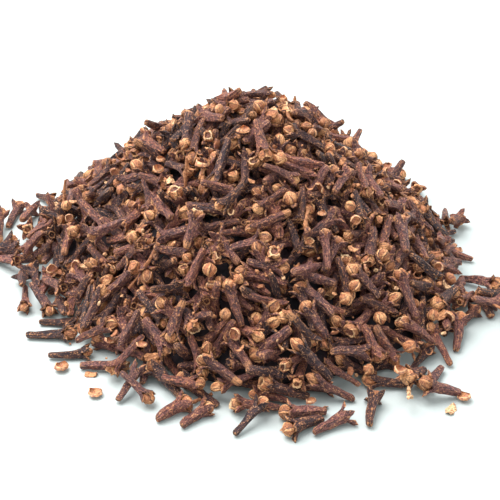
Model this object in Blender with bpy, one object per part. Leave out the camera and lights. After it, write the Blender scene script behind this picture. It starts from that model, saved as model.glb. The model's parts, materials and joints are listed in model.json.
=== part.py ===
"""A poured heap of whole cloves, lying as it fell on a flat surface, as one closed solid.

Run with: blender --background --python part.py

The heap is a low mound. Its core is a smaller, lumpy mound, and the cloves that show on the
outside are fused onto it at true size. Each clove is let down in turn onto those below it and
comes to rest on two touches, one on each side of its balance point, so the pile builds up
the way a poured one does. Only the cloves of the hem and those that show most are kept.
Metres, +Z up, with the origin on the ground under the middle of the heap. The heap is seen
from -Y.
"""

import math

import bmesh
import bpy
import numpy as np
from mathutils import Vector

# The heap's outer face: its foot, with waves of (count, size, phase), and its summit
HEAP_RADIUS = 0.0772
HEAP_HEIGHT = 0.0560
SUMMIT_ROUNDING = 0.36
SUMMIT_OFFSET = (0.000, 0.006)
FOOT_WAVES = ((2, 0.055, 2.30), (3, 0.034, -2.65), (4, 0.030, 1.29), (7, 0.015, 4.0))

# One whole clove: its length, its reach at the tail, the stem, the teeth and the bud, and
# where along its length the stem ends, the teeth stand and the bud is widest
CLOVE_LENGTH = 0.0152
LENGTH_SPREAD = 0.0017
TAIL_RADIUS = 0.0013
STEM_RADIUS = 0.0019
TOOTH_REACH = 0.0033
BUD_RADIUS = 0.00222
BUD_TIP_RADIUS = 0.0009
HOLLOW_RADIUS = 0.0012
STEM_SHARE, CALYX_SHARE, HOLLOW_SHARE, BUD_SHARE = 0.62, 0.74, 0.78, 0.86
BALANCE_SHARE = 0.57
HEADLESS_SHARE = 0.24

# The round outline that it rests on: shares of its length, and the radius at each
REST_SHARES = (0.0, 0.06, 0.20, 0.62, 0.72, 0.84, 0.94, 1.0)
REST_RADII = (0.0010, 0.0015, 0.0015, 0.0015, 0.00225, 0.00222, 0.0017, 0.0006)
LINE_POINTS = 22
TOUCH_POINTS = 13
TOUCH_SIDES = (-0.7, 0.7)

# How the cloves are poured, onto ground kept as a grid of heights
POUR_SEED = 27
POUR_DEPTH = 0.0100
GRID_STEP = 0.0006
GRID_HALF = 0.0990
TRIES = 10
TRY_SPREAD = 0.0022
UNEVENNESS = 0.0012
MISSES_ALLOWED = 150
FILLS = ((0.0002, 0.0015), (0.0012, 0.0030), (0.0022, 0.0040))
STEEPEST_SLOPE = 2.5
POKED_SHARE = 0.07
POKED_LEAN = (30, 75)
POKED_PROUD = (0.0005, 0.0045)
POKED_DEPTH = 0.0040
POKED_ABOVE = 0.012
HEAD_UP_SHARE = 0.6
FRINGE_TRIES = 150
FRINGE_REACH = (0.90, 1.07)
FRINGE_HIGHEST = 0.0040

# The solid
SHOWN_CLOVES = 256
HEM_SHARE = 1.05
FAR_SHARE = 1.185
SPACINGS = (0.0075, 0.0060, 0.0045, 0.0030)
LEAST_SHOWN_AREA = 9.0e-6
LEAST_HOLD = 0.0006
CORE_SINK = 0.0022
CORE_BLUR = 0.0050
BLUR_POINTS = 9
CORE_EDGE = 0.0012
CORE_SECTORS = 30
CORE_RINGS = (0.13, 0.26, 0.39, 0.52, 0.65, 0.77, 0.87, 0.975, 1.02)
GROUND_GAP = 0.0003

WHOLE, HEADLESS = 0, 1
CLOVE_BROWN = (0.105, 0.047, 0.031, 1.0)
CLOVE_ROUGHNESS = 0.62


def foot_radius(angle):
    """How far the foot of the heap reaches in a direction: a circle with low, slow waves."""
    reach = np.ones_like(angle)
    for count, size, phase in FOOT_WAVES:
        reach = reach + size * np.cos(count * angle + phase)
    return HEAP_RADIUS * reach


def foot_share(x, y):
    """How far out a point of the ground lies, from 0 under the summit to 1 at the foot."""
    x = x - SUMMIT_OFFSET[0]
    y = y - SUMMIT_OFFSET[1]
    return np.hypot(x, y) / foot_radius(np.arctan2(y, x))


def envelope(x, y):
    """The height of the heap's outer face over a point of the ground, 0 outside the foot."""
    share = foot_share(x, y)
    rounded = np.sqrt(share**2 + SUMMIT_ROUNDING**2) - SUMMIT_ROUNDING
    full = math.sqrt(1 + SUMMIT_ROUNDING**2) - SUMMIT_ROUNDING
    return HEAP_HEIGHT * np.maximum(0.0, 1 - rounded / full)


def clove_radius(share):
    """The radius that a clove rests on, along its length from the tail to the bud's tip."""
    return np.interp(share, REST_SHARES, REST_RADII)


class Ground:
    """The heights that the next clove lands on, and which clove is on top at each point."""

    def __init__(self):
        count = 2 * int(round(GRID_HALF / GRID_STEP)) + 1
        self.line = np.linspace(-GRID_HALF, GRID_HALF, count)
        self.x, self.y = np.meshgrid(self.line, self.line, indexing="ij")
        self.target = envelope(self.x, self.y)
        self.height = np.maximum(0.0, self.target - POUR_DEPTH)
        self.owner = np.full(self.height.shape, -1)

    def at(self, x, y):
        """The height under each point."""
        last = len(self.line) - 1
        i = np.clip(np.rint((x + GRID_HALF) / GRID_STEP).astype(int), 0, last)
        j = np.clip(np.rint((y + GRID_HALF) / GRID_STEP).astype(int), 0, last)
        return self.height[i, j]

    def cover(self, points, radii, number):
        """Raises the ground to the tops of the balls that a clove is made of."""
        reach = radii.max()
        low = np.floor((points[:, :2].min(0) - reach + GRID_HALF) / GRID_STEP).astype(int)
        high = np.ceil((points[:, :2].max(0) + reach + GRID_HALF) / GRID_STEP).astype(int) + 1
        low, high = np.maximum(low, 0), np.minimum(high, len(self.line))
        part = (slice(low[0], high[0]), slice(low[1], high[1]))
        away = (self.x[part][..., None] - points[:, 0]) ** 2
        away = away + (self.y[part][..., None] - points[:, 1]) ** 2
        inside = radii**2 - away
        top = np.where(inside > 0, points[:, 2] + np.sqrt(np.maximum(inside, 0)), -1.0).max(2)
        higher = top > self.height[part]
        self.height[part] = np.where(higher, top, self.height[part])
        self.owner[part] = np.where(higher, number, self.owner[part])


def let_down(ground, x, y, yaw, length):
    """Where cloves come to rest at these places: the height of each balance point, and its slope.

    A clove turns about its first touch until a second one, past its balance point, holds it.
    """
    share = np.linspace(0.02, 0.98, TOUCH_POINTS)
    along = (share - BALANCE_SHARE) * length
    radius = clove_radius(share)
    left = np.nonzero(along < 0)[0]
    right = np.nonzero(along > 0)[0]
    slope = np.zeros(len(x))
    for _ in range(3):
        level = 1 / np.sqrt(1 + slope**2)
        out = along * level[:, None]
        px = x[:, None] + out * np.cos(yaw)[:, None]
        py = y[:, None] + out * np.sin(yaw)[:, None]
        touch = ground.at(px, py) + radius / level[:, None]
        for side in TOUCH_SIDES:
            sx = px - side * radius * np.sin(yaw)[:, None]
            sy = py + side * radius * np.cos(yaw)[:, None]
            lower = math.sqrt(1 - side**2) * radius
            touch = np.maximum(touch, ground.at(sx, sy) + lower / level[:, None])
        rise = touch[:, None, right] - touch[:, left, None]
        run = out[:, None, right] - out[:, left, None]
        chord = touch[:, left, None] - out[:, left, None] * rise / run
        best = chord.reshape(len(x), -1).argmax(1)
        steepness = (rise / run).reshape(len(x), -1)[np.arange(len(x)), best]
        slope = np.clip(steepness, -STEEPEST_SLOPE, STEEPEST_SLOPE)
        height = chord.reshape(len(x), -1).max(1)
    return height, slope


def between(draw, pair):
    """A random value between the two of a pair."""
    return pair[0] + (pair[1] - pair[0]) * draw.rand()


def lay(ground, cloves, place, yaw, tilt, draw):
    """Adds a clove to the pile, with its balance point at a place, and raises the ground to it."""
    length = CLOVE_LENGTH + LENGTH_SPREAD * float(np.clip(draw.normal(), -1.6, 1.6))
    way = (math.cos(yaw) * math.cos(tilt), math.sin(yaw) * math.cos(tilt), math.sin(tilt))
    kind = HEADLESS if draw.rand() < HEADLESS_SHARE else WHOLE
    pose = np.round(np.array([*place, *way, length, draw.rand() * 2 * math.pi]), 6)
    clove = {"middle": pose[:3], "way": pose[3:6], "length": pose[6], "roll": pose[7], "kind": kind}
    ground.cover(*clove_balls(clove), len(cloves))
    cloves.append(clove)


def clove_balls(clove):
    """The balls that stand for a clove, from its tail to its tip: their middles and radii."""
    share = np.linspace(0.0, 1.0, LINE_POINTS)
    along = (share - BALANCE_SHARE) * clove["length"]
    return clove["middle"] + np.outer(along, clove["way"]), clove_radius(share)


def drop(ground, cloves, x, y, highest, draw):
    """Lets a clove down near a point, at the best of a few tries, and says whether it stayed."""
    x = x + draw.normal(0, TRY_SPREAD, TRIES)
    y = y + draw.normal(0, TRY_SPREAD, TRIES)
    yaw = draw.rand(TRIES) * 2 * math.pi
    height, slope = let_down(ground, x, y, yaw, CLOVE_LENGTH)
    over = height - envelope(x, y)
    ends = np.abs(slope) * CLOVE_LENGTH * 0.5
    best = int(np.argmin(over + 0.25 * ends + UNEVENNESS * draw.rand(TRIES)))
    if over[best] > highest + 0.2 * ends[best]:
        return False
    place = (x[best], y[best], height[best])
    lay(ground, cloves, place, yaw[best], math.atan(slope[best]), draw)
    return True


def poke(ground, cloves, x, y, draw):
    """Stands a clove up in a gap of the pile, head or tail out, with the rest of it below."""
    lean = math.radians(between(draw, POKED_LEAN))
    below = 1 - BALANCE_SHARE
    if draw.rand() > HEAD_UP_SHARE:
        lean = -lean
        below = BALANCE_SHARE
    top = float(envelope(x, y)) + between(draw, POKED_PROUD)
    place = (x, y, top - below * CLOVE_LENGTH * abs(math.sin(lean)))
    lay(ground, cloves, place, draw.rand() * 2 * math.pi, lean, draw)


def pour():
    """The cloves of the heap in the order that they fell, and the ground that they made."""
    draw = np.random.RandomState(POUR_SEED)
    ground = Ground()
    cloves = []
    for highest, shallowest in FILLS:
        missed = 0
        while missed < MISSES_ALLOWED:
            room = np.maximum(0.0, ground.target - ground.height - shallowest)
            total = np.cumsum(room.ravel())
            if total[-1] <= 0:
                break
            spot = np.searchsorted(total, draw.rand() * total[-1])
            x, y = ground.x.ravel()[spot], ground.y.ravel()[spot]
            deep = room.ravel()[spot] + shallowest > POKED_DEPTH
            if deep and draw.rand() < POKED_SHARE and envelope(x, y) > POKED_ABOVE:
                poke(ground, cloves, x, y, draw)
            elif drop(ground, cloves, x, y, highest, draw):
                missed = 0
            else:
                missed += 1
    for _ in range(FRINGE_TRIES):
        angle = 2 * math.pi * draw.rand()
        reach = float(foot_radius(np.array(angle))) * between(draw, FRINGE_REACH)
        x = SUMMIT_OFFSET[0] + reach * math.cos(angle)
        y = SUMMIT_OFFSET[1] + reach * math.sin(angle)
        drop(ground, cloves, x, y, FRINGE_HIGHEST - float(envelope(x, y)), draw)
    return cloves, ground


def core_height(ground, x, y):
    """The mean height of the pile round a point, less the depth that the core keeps below it."""
    near = np.linspace(-CORE_BLUR, CORE_BLUR, BLUR_POINTS)
    across, beside = np.meshgrid(x + near, y + near)
    return max(CORE_EDGE, float(ground.at(across, beside).mean()) - CORE_SINK)


def is_held(clove, ground):
    """Whether the core reaches up into a clove, which the union then joins to it."""
    for point, radius in list(zip(*clove_balls(clove)))[::3]:
        over_core = float(foot_share(point[0], point[1])) < CORE_RINGS[-2]
        bottom = point[2] - 0.7 * radius
        if over_core and core_height(ground, point[0], point[1]) - bottom > LEAST_HOLD:
            return True
    return False


def reach_share(clove):
    """How far out the outermost end of a clove lies, as a share of the foot's reach."""
    points, _ = clove_balls(clove)
    return float(foot_share(points[:, 0], points[:, 1]).max())


def most_shown(cloves, ground):
    """The cloves that make the hem, and of those that the core holds the ones that show most."""
    seen = np.bincount(ground.owner[ground.owner >= 0], minlength=len(cloves)) * GRID_STEP**2
    order = [i for i in np.argsort(-seen, kind="stable") if seen[i] > LEAST_SHOWN_AREA]
    kept = [i for i in order if HEM_SHARE < reach_share(cloves[i]) < FAR_SHARE]
    order = [i for i in order if is_held(cloves[i], ground)]
    for spacing in SPACINGS:
        for i in order:
            apart = (np.linalg.norm(cloves[i]["middle"] - cloves[k]["middle"]) > spacing for k in kept)
            if i not in kept and all(apart) and len(kept) < SHOWN_CLOVES:
                kept.append(i)
    return [cloves[i] for i in sorted(kept)]


def square_axes(way, roll):
    """Two directions square to a clove's own line, turned about it by its roll."""
    way = Vector(way)
    first = way.orthogonal().normalized()
    second = way.cross(first)
    return (
        first * math.cos(roll) + second * math.sin(roll),
        second * math.cos(roll) - first * math.sin(roll),
    )


def clove_rings(kind, length):
    """The square rings of a plain clove, as (distance from the tail, reach of the corners)."""
    rings = [
        (0.0, TAIL_RADIUS),
        (STEM_SHARE * length, STEM_RADIUS),
        (CALYX_SHARE * length, TOOTH_REACH),
    ]
    if kind == WHOLE:
        return rings + [(BUD_SHARE * length, BUD_RADIUS), (length, BUD_TIP_RADIUS)]
    return rings + [(HOLLOW_SHARE * length, HOLLOW_RADIUS)]


def add_clove(name, clove, collection):
    """One plain clove: a square stem, a calyx with four teeth, and the bud or its empty seat."""
    mesh = bmesh.new()
    way = Vector(clove["way"])
    tail = Vector(clove["middle"]) - way * (BALANCE_SHARE * clove["length"])
    across, beside = square_axes(clove["way"], clove["roll"])
    rings = []
    for distance, reach in clove_rings(clove["kind"], clove["length"]):
        ring = []
        for corner in (across, beside, -across, -beside):
            spot = tail + way * distance + corner * reach
            ring.append(mesh.verts.new((spot.x, spot.y, max(spot.z, GROUND_GAP))))
        rings.append(ring)
    for low, high in zip(rings, rings[1:]):
        for k in range(4):
            mesh.faces.new((low[k], low[k - 3], high[k - 3], high[k]))
    mesh.faces.new(rings[0])
    mesh.faces.new(rings[-1])
    return add_object(name, mesh, collection)


def add_object(name, mesh, collection):
    """An object in a collection, with the mesh as triangles that face outwards."""
    bmesh.ops.triangulate(mesh, faces=mesh.faces)
    bmesh.ops.recalc_face_normals(mesh, faces=mesh.faces)
    data = bpy.data.meshes.new(name)
    mesh.to_mesh(data)
    mesh.free()
    made = bpy.data.objects.new(name, data)
    collection.objects.link(made)
    return made


def add_core(name, ground, collection):
    """The lumpy mound under the cloves, as rings round the summit, closed by a flat base."""
    mesh = bmesh.new()
    rings = []
    for number, share in enumerate(CORE_RINGS):
        row = []
        for sector in range(CORE_SECTORS):
            angle = 2 * math.pi * (sector + 0.5 * (number % 2)) / CORE_SECTORS
            reach = float(foot_radius(np.array(angle))) * share
            x = SUMMIT_OFFSET[0] + reach * math.cos(angle)
            y = SUMMIT_OFFSET[1] + reach * math.sin(angle)
            z = 0.0 if share == CORE_RINGS[-1] else core_height(ground, x, y)
            row.append(mesh.verts.new((x, y, z)))
        rings.append(row)
    summit = mesh.verts.new((*SUMMIT_OFFSET, core_height(ground, *SUMMIT_OFFSET)))
    for k in range(CORE_SECTORS):
        mesh.faces.new((summit, rings[0][k], rings[0][k - CORE_SECTORS + 1]))
    for low, high in zip(rings, rings[1:]):
        for k in range(CORE_SECTORS):
            after = k - CORE_SECTORS + 1
            mesh.faces.new((low[k], high[k], high[after], low[after]))
    mesh.faces.new(rings[-1])
    return add_object(name, mesh, collection)


def fuse(core, helpers):
    """Joins the cloves to the core by one Boolean union, and drops the objects that it took."""
    union = core.modifiers.new("cloves", "BOOLEAN")
    union.operand_type = "COLLECTION"
    union.collection = helpers
    union.operation = "UNION"
    union.solver = "MANIFOLD"
    fused = core.evaluated_get(bpy.context.evaluated_depsgraph_get())
    data = bpy.data.meshes.new_from_object(fused)
    core.modifiers.clear()
    core.data = data
    for piece in list(helpers.objects):
        bpy.data.objects.remove(piece)
    bpy.data.collections.remove(helpers)


def shell_of(start, left):
    """The faces that hang together with one face, taken out of those that are left."""
    shell = [start]
    for face in shell:
        for edge in face.edges:
            for other in edge.link_faces:
                if other in left:
                    left.discard(other)
                    shell.append(other)
    return shell


def keep_outer_shell(made):
    """Keeps the largest closed surface: a sealed hollow is filled and a loose scrap dropped."""
    mesh = bmesh.new()
    mesh.from_mesh(made.data)
    bmesh.ops.triangulate(mesh, faces=mesh.faces)
    left = set(mesh.faces)
    shells = []
    for face in mesh.faces:
        if face in left:
            left.discard(face)
            shells.append(shell_of(face, left))
    shells.sort(key=len)
    scraps = [face for shell in shells[:-1] for face in shell]
    bmesh.ops.delete(mesh, geom=scraps, context="FACES")
    mesh.to_mesh(made.data)
    mesh.free()


def clove_material():
    """Dried clove brown, matt."""
    material = bpy.data.materials.new("clove_brown")
    material.use_nodes = True
    shader = material.node_tree.nodes["Principled BSDF"]
    shader.inputs["Base Color"].default_value = CLOVE_BROWN
    shader.inputs["Roughness"].default_value = CLOVE_ROUGHNESS
    shader.inputs["Metallic"].default_value = 0.0
    return material


def main():
    for old in list(bpy.data.objects):
        bpy.data.objects.remove(old)
    scene = bpy.context.scene
    helpers = bpy.data.collections.new("loose_cloves")
    scene.collection.children.link(helpers)
    cloves, ground = pour()
    shown = most_shown(cloves, ground)
    for number, clove in enumerate(shown):
        add_clove(f"clove_{number:03d}", clove, helpers)
    heap = add_core("clove_heap", ground, scene.collection)
    fuse(heap, helpers)
    keep_outer_shell(heap)
    heap.data.materials.clear()
    heap.data.materials.append(clove_material())


main()
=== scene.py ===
"""The looks of a poured heap of whole cloves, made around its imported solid.

The file is laid out as a Blender add-on and is run as a script. Each operator makes one piece
or one group of like pieces. The cloves are poured by the same rule and the same values as in
the part's source, so the ones that its solid shows lie in the same places here.
Metres, +Z up. The heap lies on the ground and is seen from -Y.
"""

import json
import math
from collections import namedtuple
from functools import lru_cache

import bpy
import numpy as np
from mathutils import Matrix, Vector, noise

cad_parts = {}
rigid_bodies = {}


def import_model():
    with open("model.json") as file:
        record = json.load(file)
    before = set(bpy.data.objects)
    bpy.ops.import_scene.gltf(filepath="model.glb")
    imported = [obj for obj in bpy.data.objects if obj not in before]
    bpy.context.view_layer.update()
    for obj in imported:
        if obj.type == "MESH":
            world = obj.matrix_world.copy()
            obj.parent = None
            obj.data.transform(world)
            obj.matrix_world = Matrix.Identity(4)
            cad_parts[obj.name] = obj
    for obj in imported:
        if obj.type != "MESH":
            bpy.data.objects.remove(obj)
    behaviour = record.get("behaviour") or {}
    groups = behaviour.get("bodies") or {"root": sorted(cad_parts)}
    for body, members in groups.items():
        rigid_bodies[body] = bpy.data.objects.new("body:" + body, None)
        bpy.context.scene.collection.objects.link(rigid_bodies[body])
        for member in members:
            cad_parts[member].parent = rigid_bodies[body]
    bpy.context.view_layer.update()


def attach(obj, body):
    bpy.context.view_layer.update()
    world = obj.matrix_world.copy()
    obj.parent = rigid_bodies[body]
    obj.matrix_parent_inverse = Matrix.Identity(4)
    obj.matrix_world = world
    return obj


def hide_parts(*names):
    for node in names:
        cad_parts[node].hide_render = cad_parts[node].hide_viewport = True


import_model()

bl_info = {
    "name": "Heap of whole cloves",
    "version": (1, 0, 0),
    "blender": (4, 5, 0),
    "location": "View3D > Sidebar > Cloves",
    "description": "Makes a poured heap of dried whole cloves, with its floor, light and camera",
    "category": "Object",
}

# The heap's outer face, as in the part's source
HEAP_RADIUS = 0.0772
HEAP_HEIGHT = 0.0560
SUMMIT_ROUNDING = 0.36
SUMMIT_OFFSET = (0.000, 0.006)
FOOT_WAVES = ((2, 0.055, 2.30), (3, 0.034, -2.65), (4, 0.030, 1.29), (7, 0.015, 4.0))

# One clove, as in the part's source
CLOVE_LENGTH = 0.0152
LENGTH_SPREAD = 0.0017
BALANCE_SHARE = 0.57
HEADLESS_SHARE = 0.24
REST_SHARES = (0.0, 0.06, 0.20, 0.62, 0.72, 0.84, 0.94, 1.0)
REST_RADII = (0.0010, 0.0015, 0.0015, 0.0015, 0.00225, 0.00222, 0.0017, 0.0006)
LINE_POINTS = 22
TOUCH_POINTS = 13
TOUCH_SIDES = (-0.7, 0.7)

# How the cloves are poured, as in the part's source
POUR_SEED = 27
POUR_DEPTH = 0.0100
GRID_STEP = 0.0006
GRID_HALF = 0.0990
TRIES = 10
TRY_SPREAD = 0.0022
UNEVENNESS = 0.0012
MISSES_ALLOWED = 150
FILLS = ((0.0002, 0.0015), (0.0012, 0.0030), (0.0022, 0.0040))
STEEPEST_SLOPE = 2.5
POKED_SHARE = 0.07
POKED_LEAN = (30, 75)
POKED_PROUD = (0.0005, 0.0045)
POKED_DEPTH = 0.0040
POKED_ABOVE = 0.012
HEAD_UP_SHARE = 0.6
FRINGE_TRIES = 150
FRINGE_REACH = (0.90, 1.07)
FRINGE_HIGHEST = 0.0040
FAR_SHARE = 1.185
WHOLE, HEADLESS = 0, 1

# The true outline of a clove: shares of its length and the radius at each, from tail to calyx
STEM_PROFILE = (
    (0.000, 0.00060),
    (0.016, 0.00096),
    (0.060, 0.00116),
    (0.180, 0.00127),
    (0.340, 0.00142),
    (0.480, 0.00154),
    (0.580, 0.00160),
    (0.640, 0.00182),
)
CALYX_SHARE = 0.712
SIDES = 8
TURN = 2 * math.pi / SIDES
STEM_SQUARENESS = 0.06
STEM_UNEVENNESS = 0.07
TAIL_HOLLOW = 0.0002
TAIL_PALENESS = 0.62
CUT_PALENESS = 0.45

# The calyx and its four teeth, whose reach and rise are given closed and then fully spread
TEETH = 4
RIM_RADIUS = 0.00222
RIM_UNEVENNESS = 0.03
SEAT_RADIUS = 0.00150
SEAT_RISE = 0.0001
SEAT_DEPTH = 0.0004
SEAT_PALENESS = 0.25
VALLEY_DEPTH = 0.0008
VALLEY_NARROWING = 0.83
TOOTH_REACH = (0.00290, 0.00415)
TOOTH_RISE = (0.00275, 0.00140)
TOOTH_VARIETY = 0.00035
TOOTH_SWAY = 0.16
TOOTH_KEEL = 0.0001
TOOTH_HALF_WIDTH = 0.00076
TOOTH_THICKNESS = 0.00092
TOOTH_MIDDLE_OUT = 0.50
TOOTH_MIDDLE_UP = 0.38
TOOTH_SIDE_PALENESS = 0.36
TOOTH_EDGE_PALENESS = 0.92
TOOTH_TIP_PALENESS = 0.72

# The bud: how far each ring of its petals lies above the calyx, and the ring's radius
BUD_RINGS = (
    (0.0004, 0.00168),
    (0.0014, 0.00208),
    (0.0024, 0.00194),
    (0.0032, 0.00136),
    (0.0037, 0.00062),
)
BUD_FOOT = -0.0007
BUD_TOP = 0.0039
BUD_SIDES = 12
PETALS = 4
PETAL_LAP = 0.20
PETAL_CREST = 0.84
PETAL_TWIST = 170.0
PETAL_UNEVENNESS = 0.05

# A bud torn open at the top: the rise and the radius of each ring, as for a whole bud
TORN_RINGS = (
    (0.0004, 0.00166),
    (0.0013, 0.00206),
    (0.0022, 0.00200),
    (0.0029, 0.00168),
)
TORN_LEAN = 0.22
TORN_RAGGEDNESS = 0.00030
TORN_RIM_WIDTH = 0.00042
TORN_SINK = 0.00065
TORN_PALENESS = 0.9

# What is left where a bud fell off: the rise, the radius and the paleness of each ring
OPEN_RINGS = (
    (0.00060, 0.00134, 1.0),
    (0.00056, 0.00108, 0.9),
    (-0.00025, 0.00078, 0.0),
)
OPEN_SQUARENESS = -0.08
OPEN_UNEVENNESS = 0.06
STYLE_RADIUS = 0.00028
STYLE_TOP = 0.0008

# What one shape of clove differs in: its kind, the teeth's spread from 0 to 1, the bud's width
# and height as shares of the usual ones, the bend of the stem in metres and its own seed
CloveShape = namedtuple("CloveShape", "kind spread width height bend seed")
FULL_SHAPES = (
    CloveShape("bud", 0.75, 1.00, 1.00, 0.00035, 1),
    CloveShape("bud", 1.05, 0.94, 0.92, 0.00070, 2),
    CloveShape("bud", 0.50, 1.04, 1.02, -0.00030, 3),
    CloveShape("bud", 1.20, 0.96, 0.90, 0.00015, 4),
    CloveShape("bud", 0.90, 0.86, 0.80, -0.00060, 5),
    CloveShape("bud", 0.60, 0.98, 0.88, 0.00090, 6),
)
SLIM_SHAPES = (
    CloveShape("bud", 0.10, 0.82, 0.96, 0.00040, 7),
    CloveShape("bud", 0.30, 0.74, 0.78, -0.00080, 8),
    CloveShape("bud", 0.20, 0.84, 0.84, 0.00075, 9),
    CloveShape("torn", 0.05, 0.76, 0.80, 0.00030, 10),
)
TORN_SHAPES = (
    CloveShape("torn", 0.75, 1.00, 0.95, 0.00030, 11),
    CloveShape("torn", 1.05, 0.92, 0.75, -0.00060, 12),
    CloveShape("torn", 0.40, 1.02, 1.05, 0.00055, 13),
    CloveShape("torn", 1.20, 0.86, 0.62, 0.00020, 14),
    CloveShape("torn", 0.70, 0.96, 0.85, -0.00035, 15),
)
OPEN_SHAPES = (
    CloveShape("open", 0.95, 1.00, 1.00, 0.00030, 16),
    CloveShape("open", 0.60, 0.90, 1.00, -0.00065, 17),
    CloveShape("open", 1.15, 1.05, 1.00, 0.00050, 18),
    CloveShape("open", 0.30, 0.85, 1.00, 0.00080, 19),
    CloveShape("open", 0.80, 0.95, 1.00, -0.00020, 20),
)
HEAD_SHAPES = FULL_SHAPES[:3]

# How the poured cloves are sorted and how much they differ in girth
SLIM_SHARE = 0.20
TORN_SHARE = 0.32
DRESS_SEED = 5
THICKNESS_RANGE = (0.78, 1.09)
FLATNESS_RANGE = (0.94, 1.06)

# The shapes of the loose pieces: the rings of a cap and how deep each cap is, the length and the
# bend of a stalk, the length, the width and the roll of a flake, and the rings of a crumb as
# shares of its size
HEAD_MIDDLE = 0.0019
CAP_RINGS = (
    (0.00175, 0.00200),
    (0.00100, 0.00224),
    (0.00025, 0.00150),
)
CAP_DEPTHS = (0.75, 1.0, 0.55)
CAP_WALL = 0.00028
CAP_RAGGEDNESS = 0.0005
CAP_TWIST = 60.0
STALK_SIZES = (
    (0.015, 0.0006),
    (0.011, -0.0004),
    (0.018, 0.001),
)
STALK_STEPS = 8
STALK_RADIUS = 0.00042
STALK_FLARE = 0.00012
KNOT_SHARE = 0.45
KNOT_HALF_SHARE = 0.07
KNOT_SWELL = 0.00030
FLAKE_SIZES = (
    (0.0040, 0.0022, 1.3),
    (0.0030, 0.0026, 1.0),
    (0.0060, 0.0014, 3.2),
    (0.0048, 0.0010, 4.2),
    (0.0026, 0.0018, 0.8),
)
FLAKE_STEPS = 6
FLAKE_THICKNESS = 0.00012
FLAKE_DIP = 0.18
CHIP_RINGS = (
    (-0.4, 0.42),
    (0.1, 0.55),
    (0.42, 0.30),
)
CHIP_SIZE = 0.0016
CHIP_SHAPES = 4
CHIP_CORNERS = 5

# How a kind of loose piece lies: the radius that it nestles on, how far it sinks in, its smallest
# size and how much it may grow, how rare the large ones are, its most tilt and its shapes' number
LooseKind = namedtuple("LooseKind", "radius sink smallest growth rarity most_tilt shapes")
LOOSE_HEADS = LooseKind(0.0021, 0.0004, 0.74, 0.22, 1, math.pi, len(HEAD_SHAPES))
LOOSE_CAPS = LooseKind(0.0019, 0.0009, 0.62, 0.36, 1, math.radians(115), len(CAP_DEPTHS))
LOOSE_STALKS = LooseKind(0.0012, 0.0004, 1.0, 0.0, 1, math.radians(100), len(STALK_SIZES))
LOOSE_FLAKES = LooseKind(0.0011, 0.0006, 0.70, 0.50, 1, math.radians(60), len(FLAKE_SIZES))
LOOSE_CHIPS = LooseKind(0.0007, 0.0002, 0.50, 0.90, 2, math.pi, CHIP_SHAPES)
LOOSE_TRIES = 9
LOOSE_SPREAD = 0.003
LOOSE_REACH = 0.96
STALK_MOST_TINT = 0.4

# Loose pieces that stand out: the kind, the shape, the place, the turn, the size and the tint
MARKED_PIECES = (
    ("caps", 0, (-0.0554, -0.0544), 0.4, 1.0, 0.70),
    ("flakes", 1, (-0.0465, -0.0569), 2.2, 1.2, 0.50),
    ("caps", 2, (-0.0440, -0.0665), 1.1, 1.0, 0.80),
    ("flakes", 4, (-0.0590, -0.0366), 0.2, 1.3, 0.60),
    ("caps", 1, (0.0424, -0.0665), 2.7, 0.9, 0.50),
    ("flakes", 2, (0.0445, -0.0730), 0.9, 1.1, 0.92),
    ("flakes", 0, (0.0563, -0.0735), 0.3, 1.2, 0.97),
    ("caps", 0, (0.0607, -0.0685), 1.9, 0.9, 0.90),
    ("flakes", 0, (0.0500, 0.0440), 0.9, 2.0, 0.92),
    ("flakes", 0, (0.0450, 0.0380), 0.6, 1.6, 0.85),
    ("flakes", 0, (0.0069, 0.0045), 0.5, 1.5, 1.00),
    ("caps", 0, (-0.0143, -0.0150), 0.4, 1.1, 1.00),
    ("caps", 2, (-0.0020, -0.0080), 2.4, 1.0, 0.95),
    ("stalks", 1, (-0.0156, -0.0705), 0.5, 1.0, 0.20),
    ("stalks", 0, (0.0732, -0.0235), 2.4, 1.0, 0.30),
)
MARKED_FLAT_HEIGHT = 0.0005
MARKED_STALK_HEIGHT = 0.0014

# The dark core, coloured near black as painted shade, that shows in the deepest gaps
DEPTH_SECTORS = 96
DEPTH_RINGS = 36
DEPTH_REACH = 0.835
DEPTH_LUMP = 0.0045
DEPTH_LUMP_HEIGHT = 0.0016
DEPTH_BELOW = POUR_DEPTH + 0.0006
DEPTH_THINNEST = 0.0004

# All pieces: the gap over the floor, the angle from which an edge is crisp, how fine the crooks
# and the wrinkles of the dry skin are, and what a stem's brown is multiplied by at its warmest
# and at its coolest
GROUND_GAP = 0.0001
SHARP_FROM = math.radians(52)
CROOK_FINENESS = 300.0
CLOVE_FINENESS = 1900.0
PETAL_FINENESS = 1300.0
WARM_TINT = (1.14, 0.98, 0.72)
COOL_TINT = (0.76, 0.92, 1.22)

# The stage
FLOOR_HALF = 3.0
SENSOR_WIDTH = 36.0
PICTURE_SIZE = 500
KEY_PLACE = (-0.35, 0.25, 0.85)
KEY_AIM = (0, 0, 0.02)
KEY_SIZE = 0.85
KEY_TINT = (1.0, 0.98, 0.965)
SKY_TINT = (0.955, 1.0, 0.995)

PourSizes = namedtuple("PourSizes", "radius height length spread headless seed")
Placed = namedtuple("Placed", "place turn size shape tint")


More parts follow.
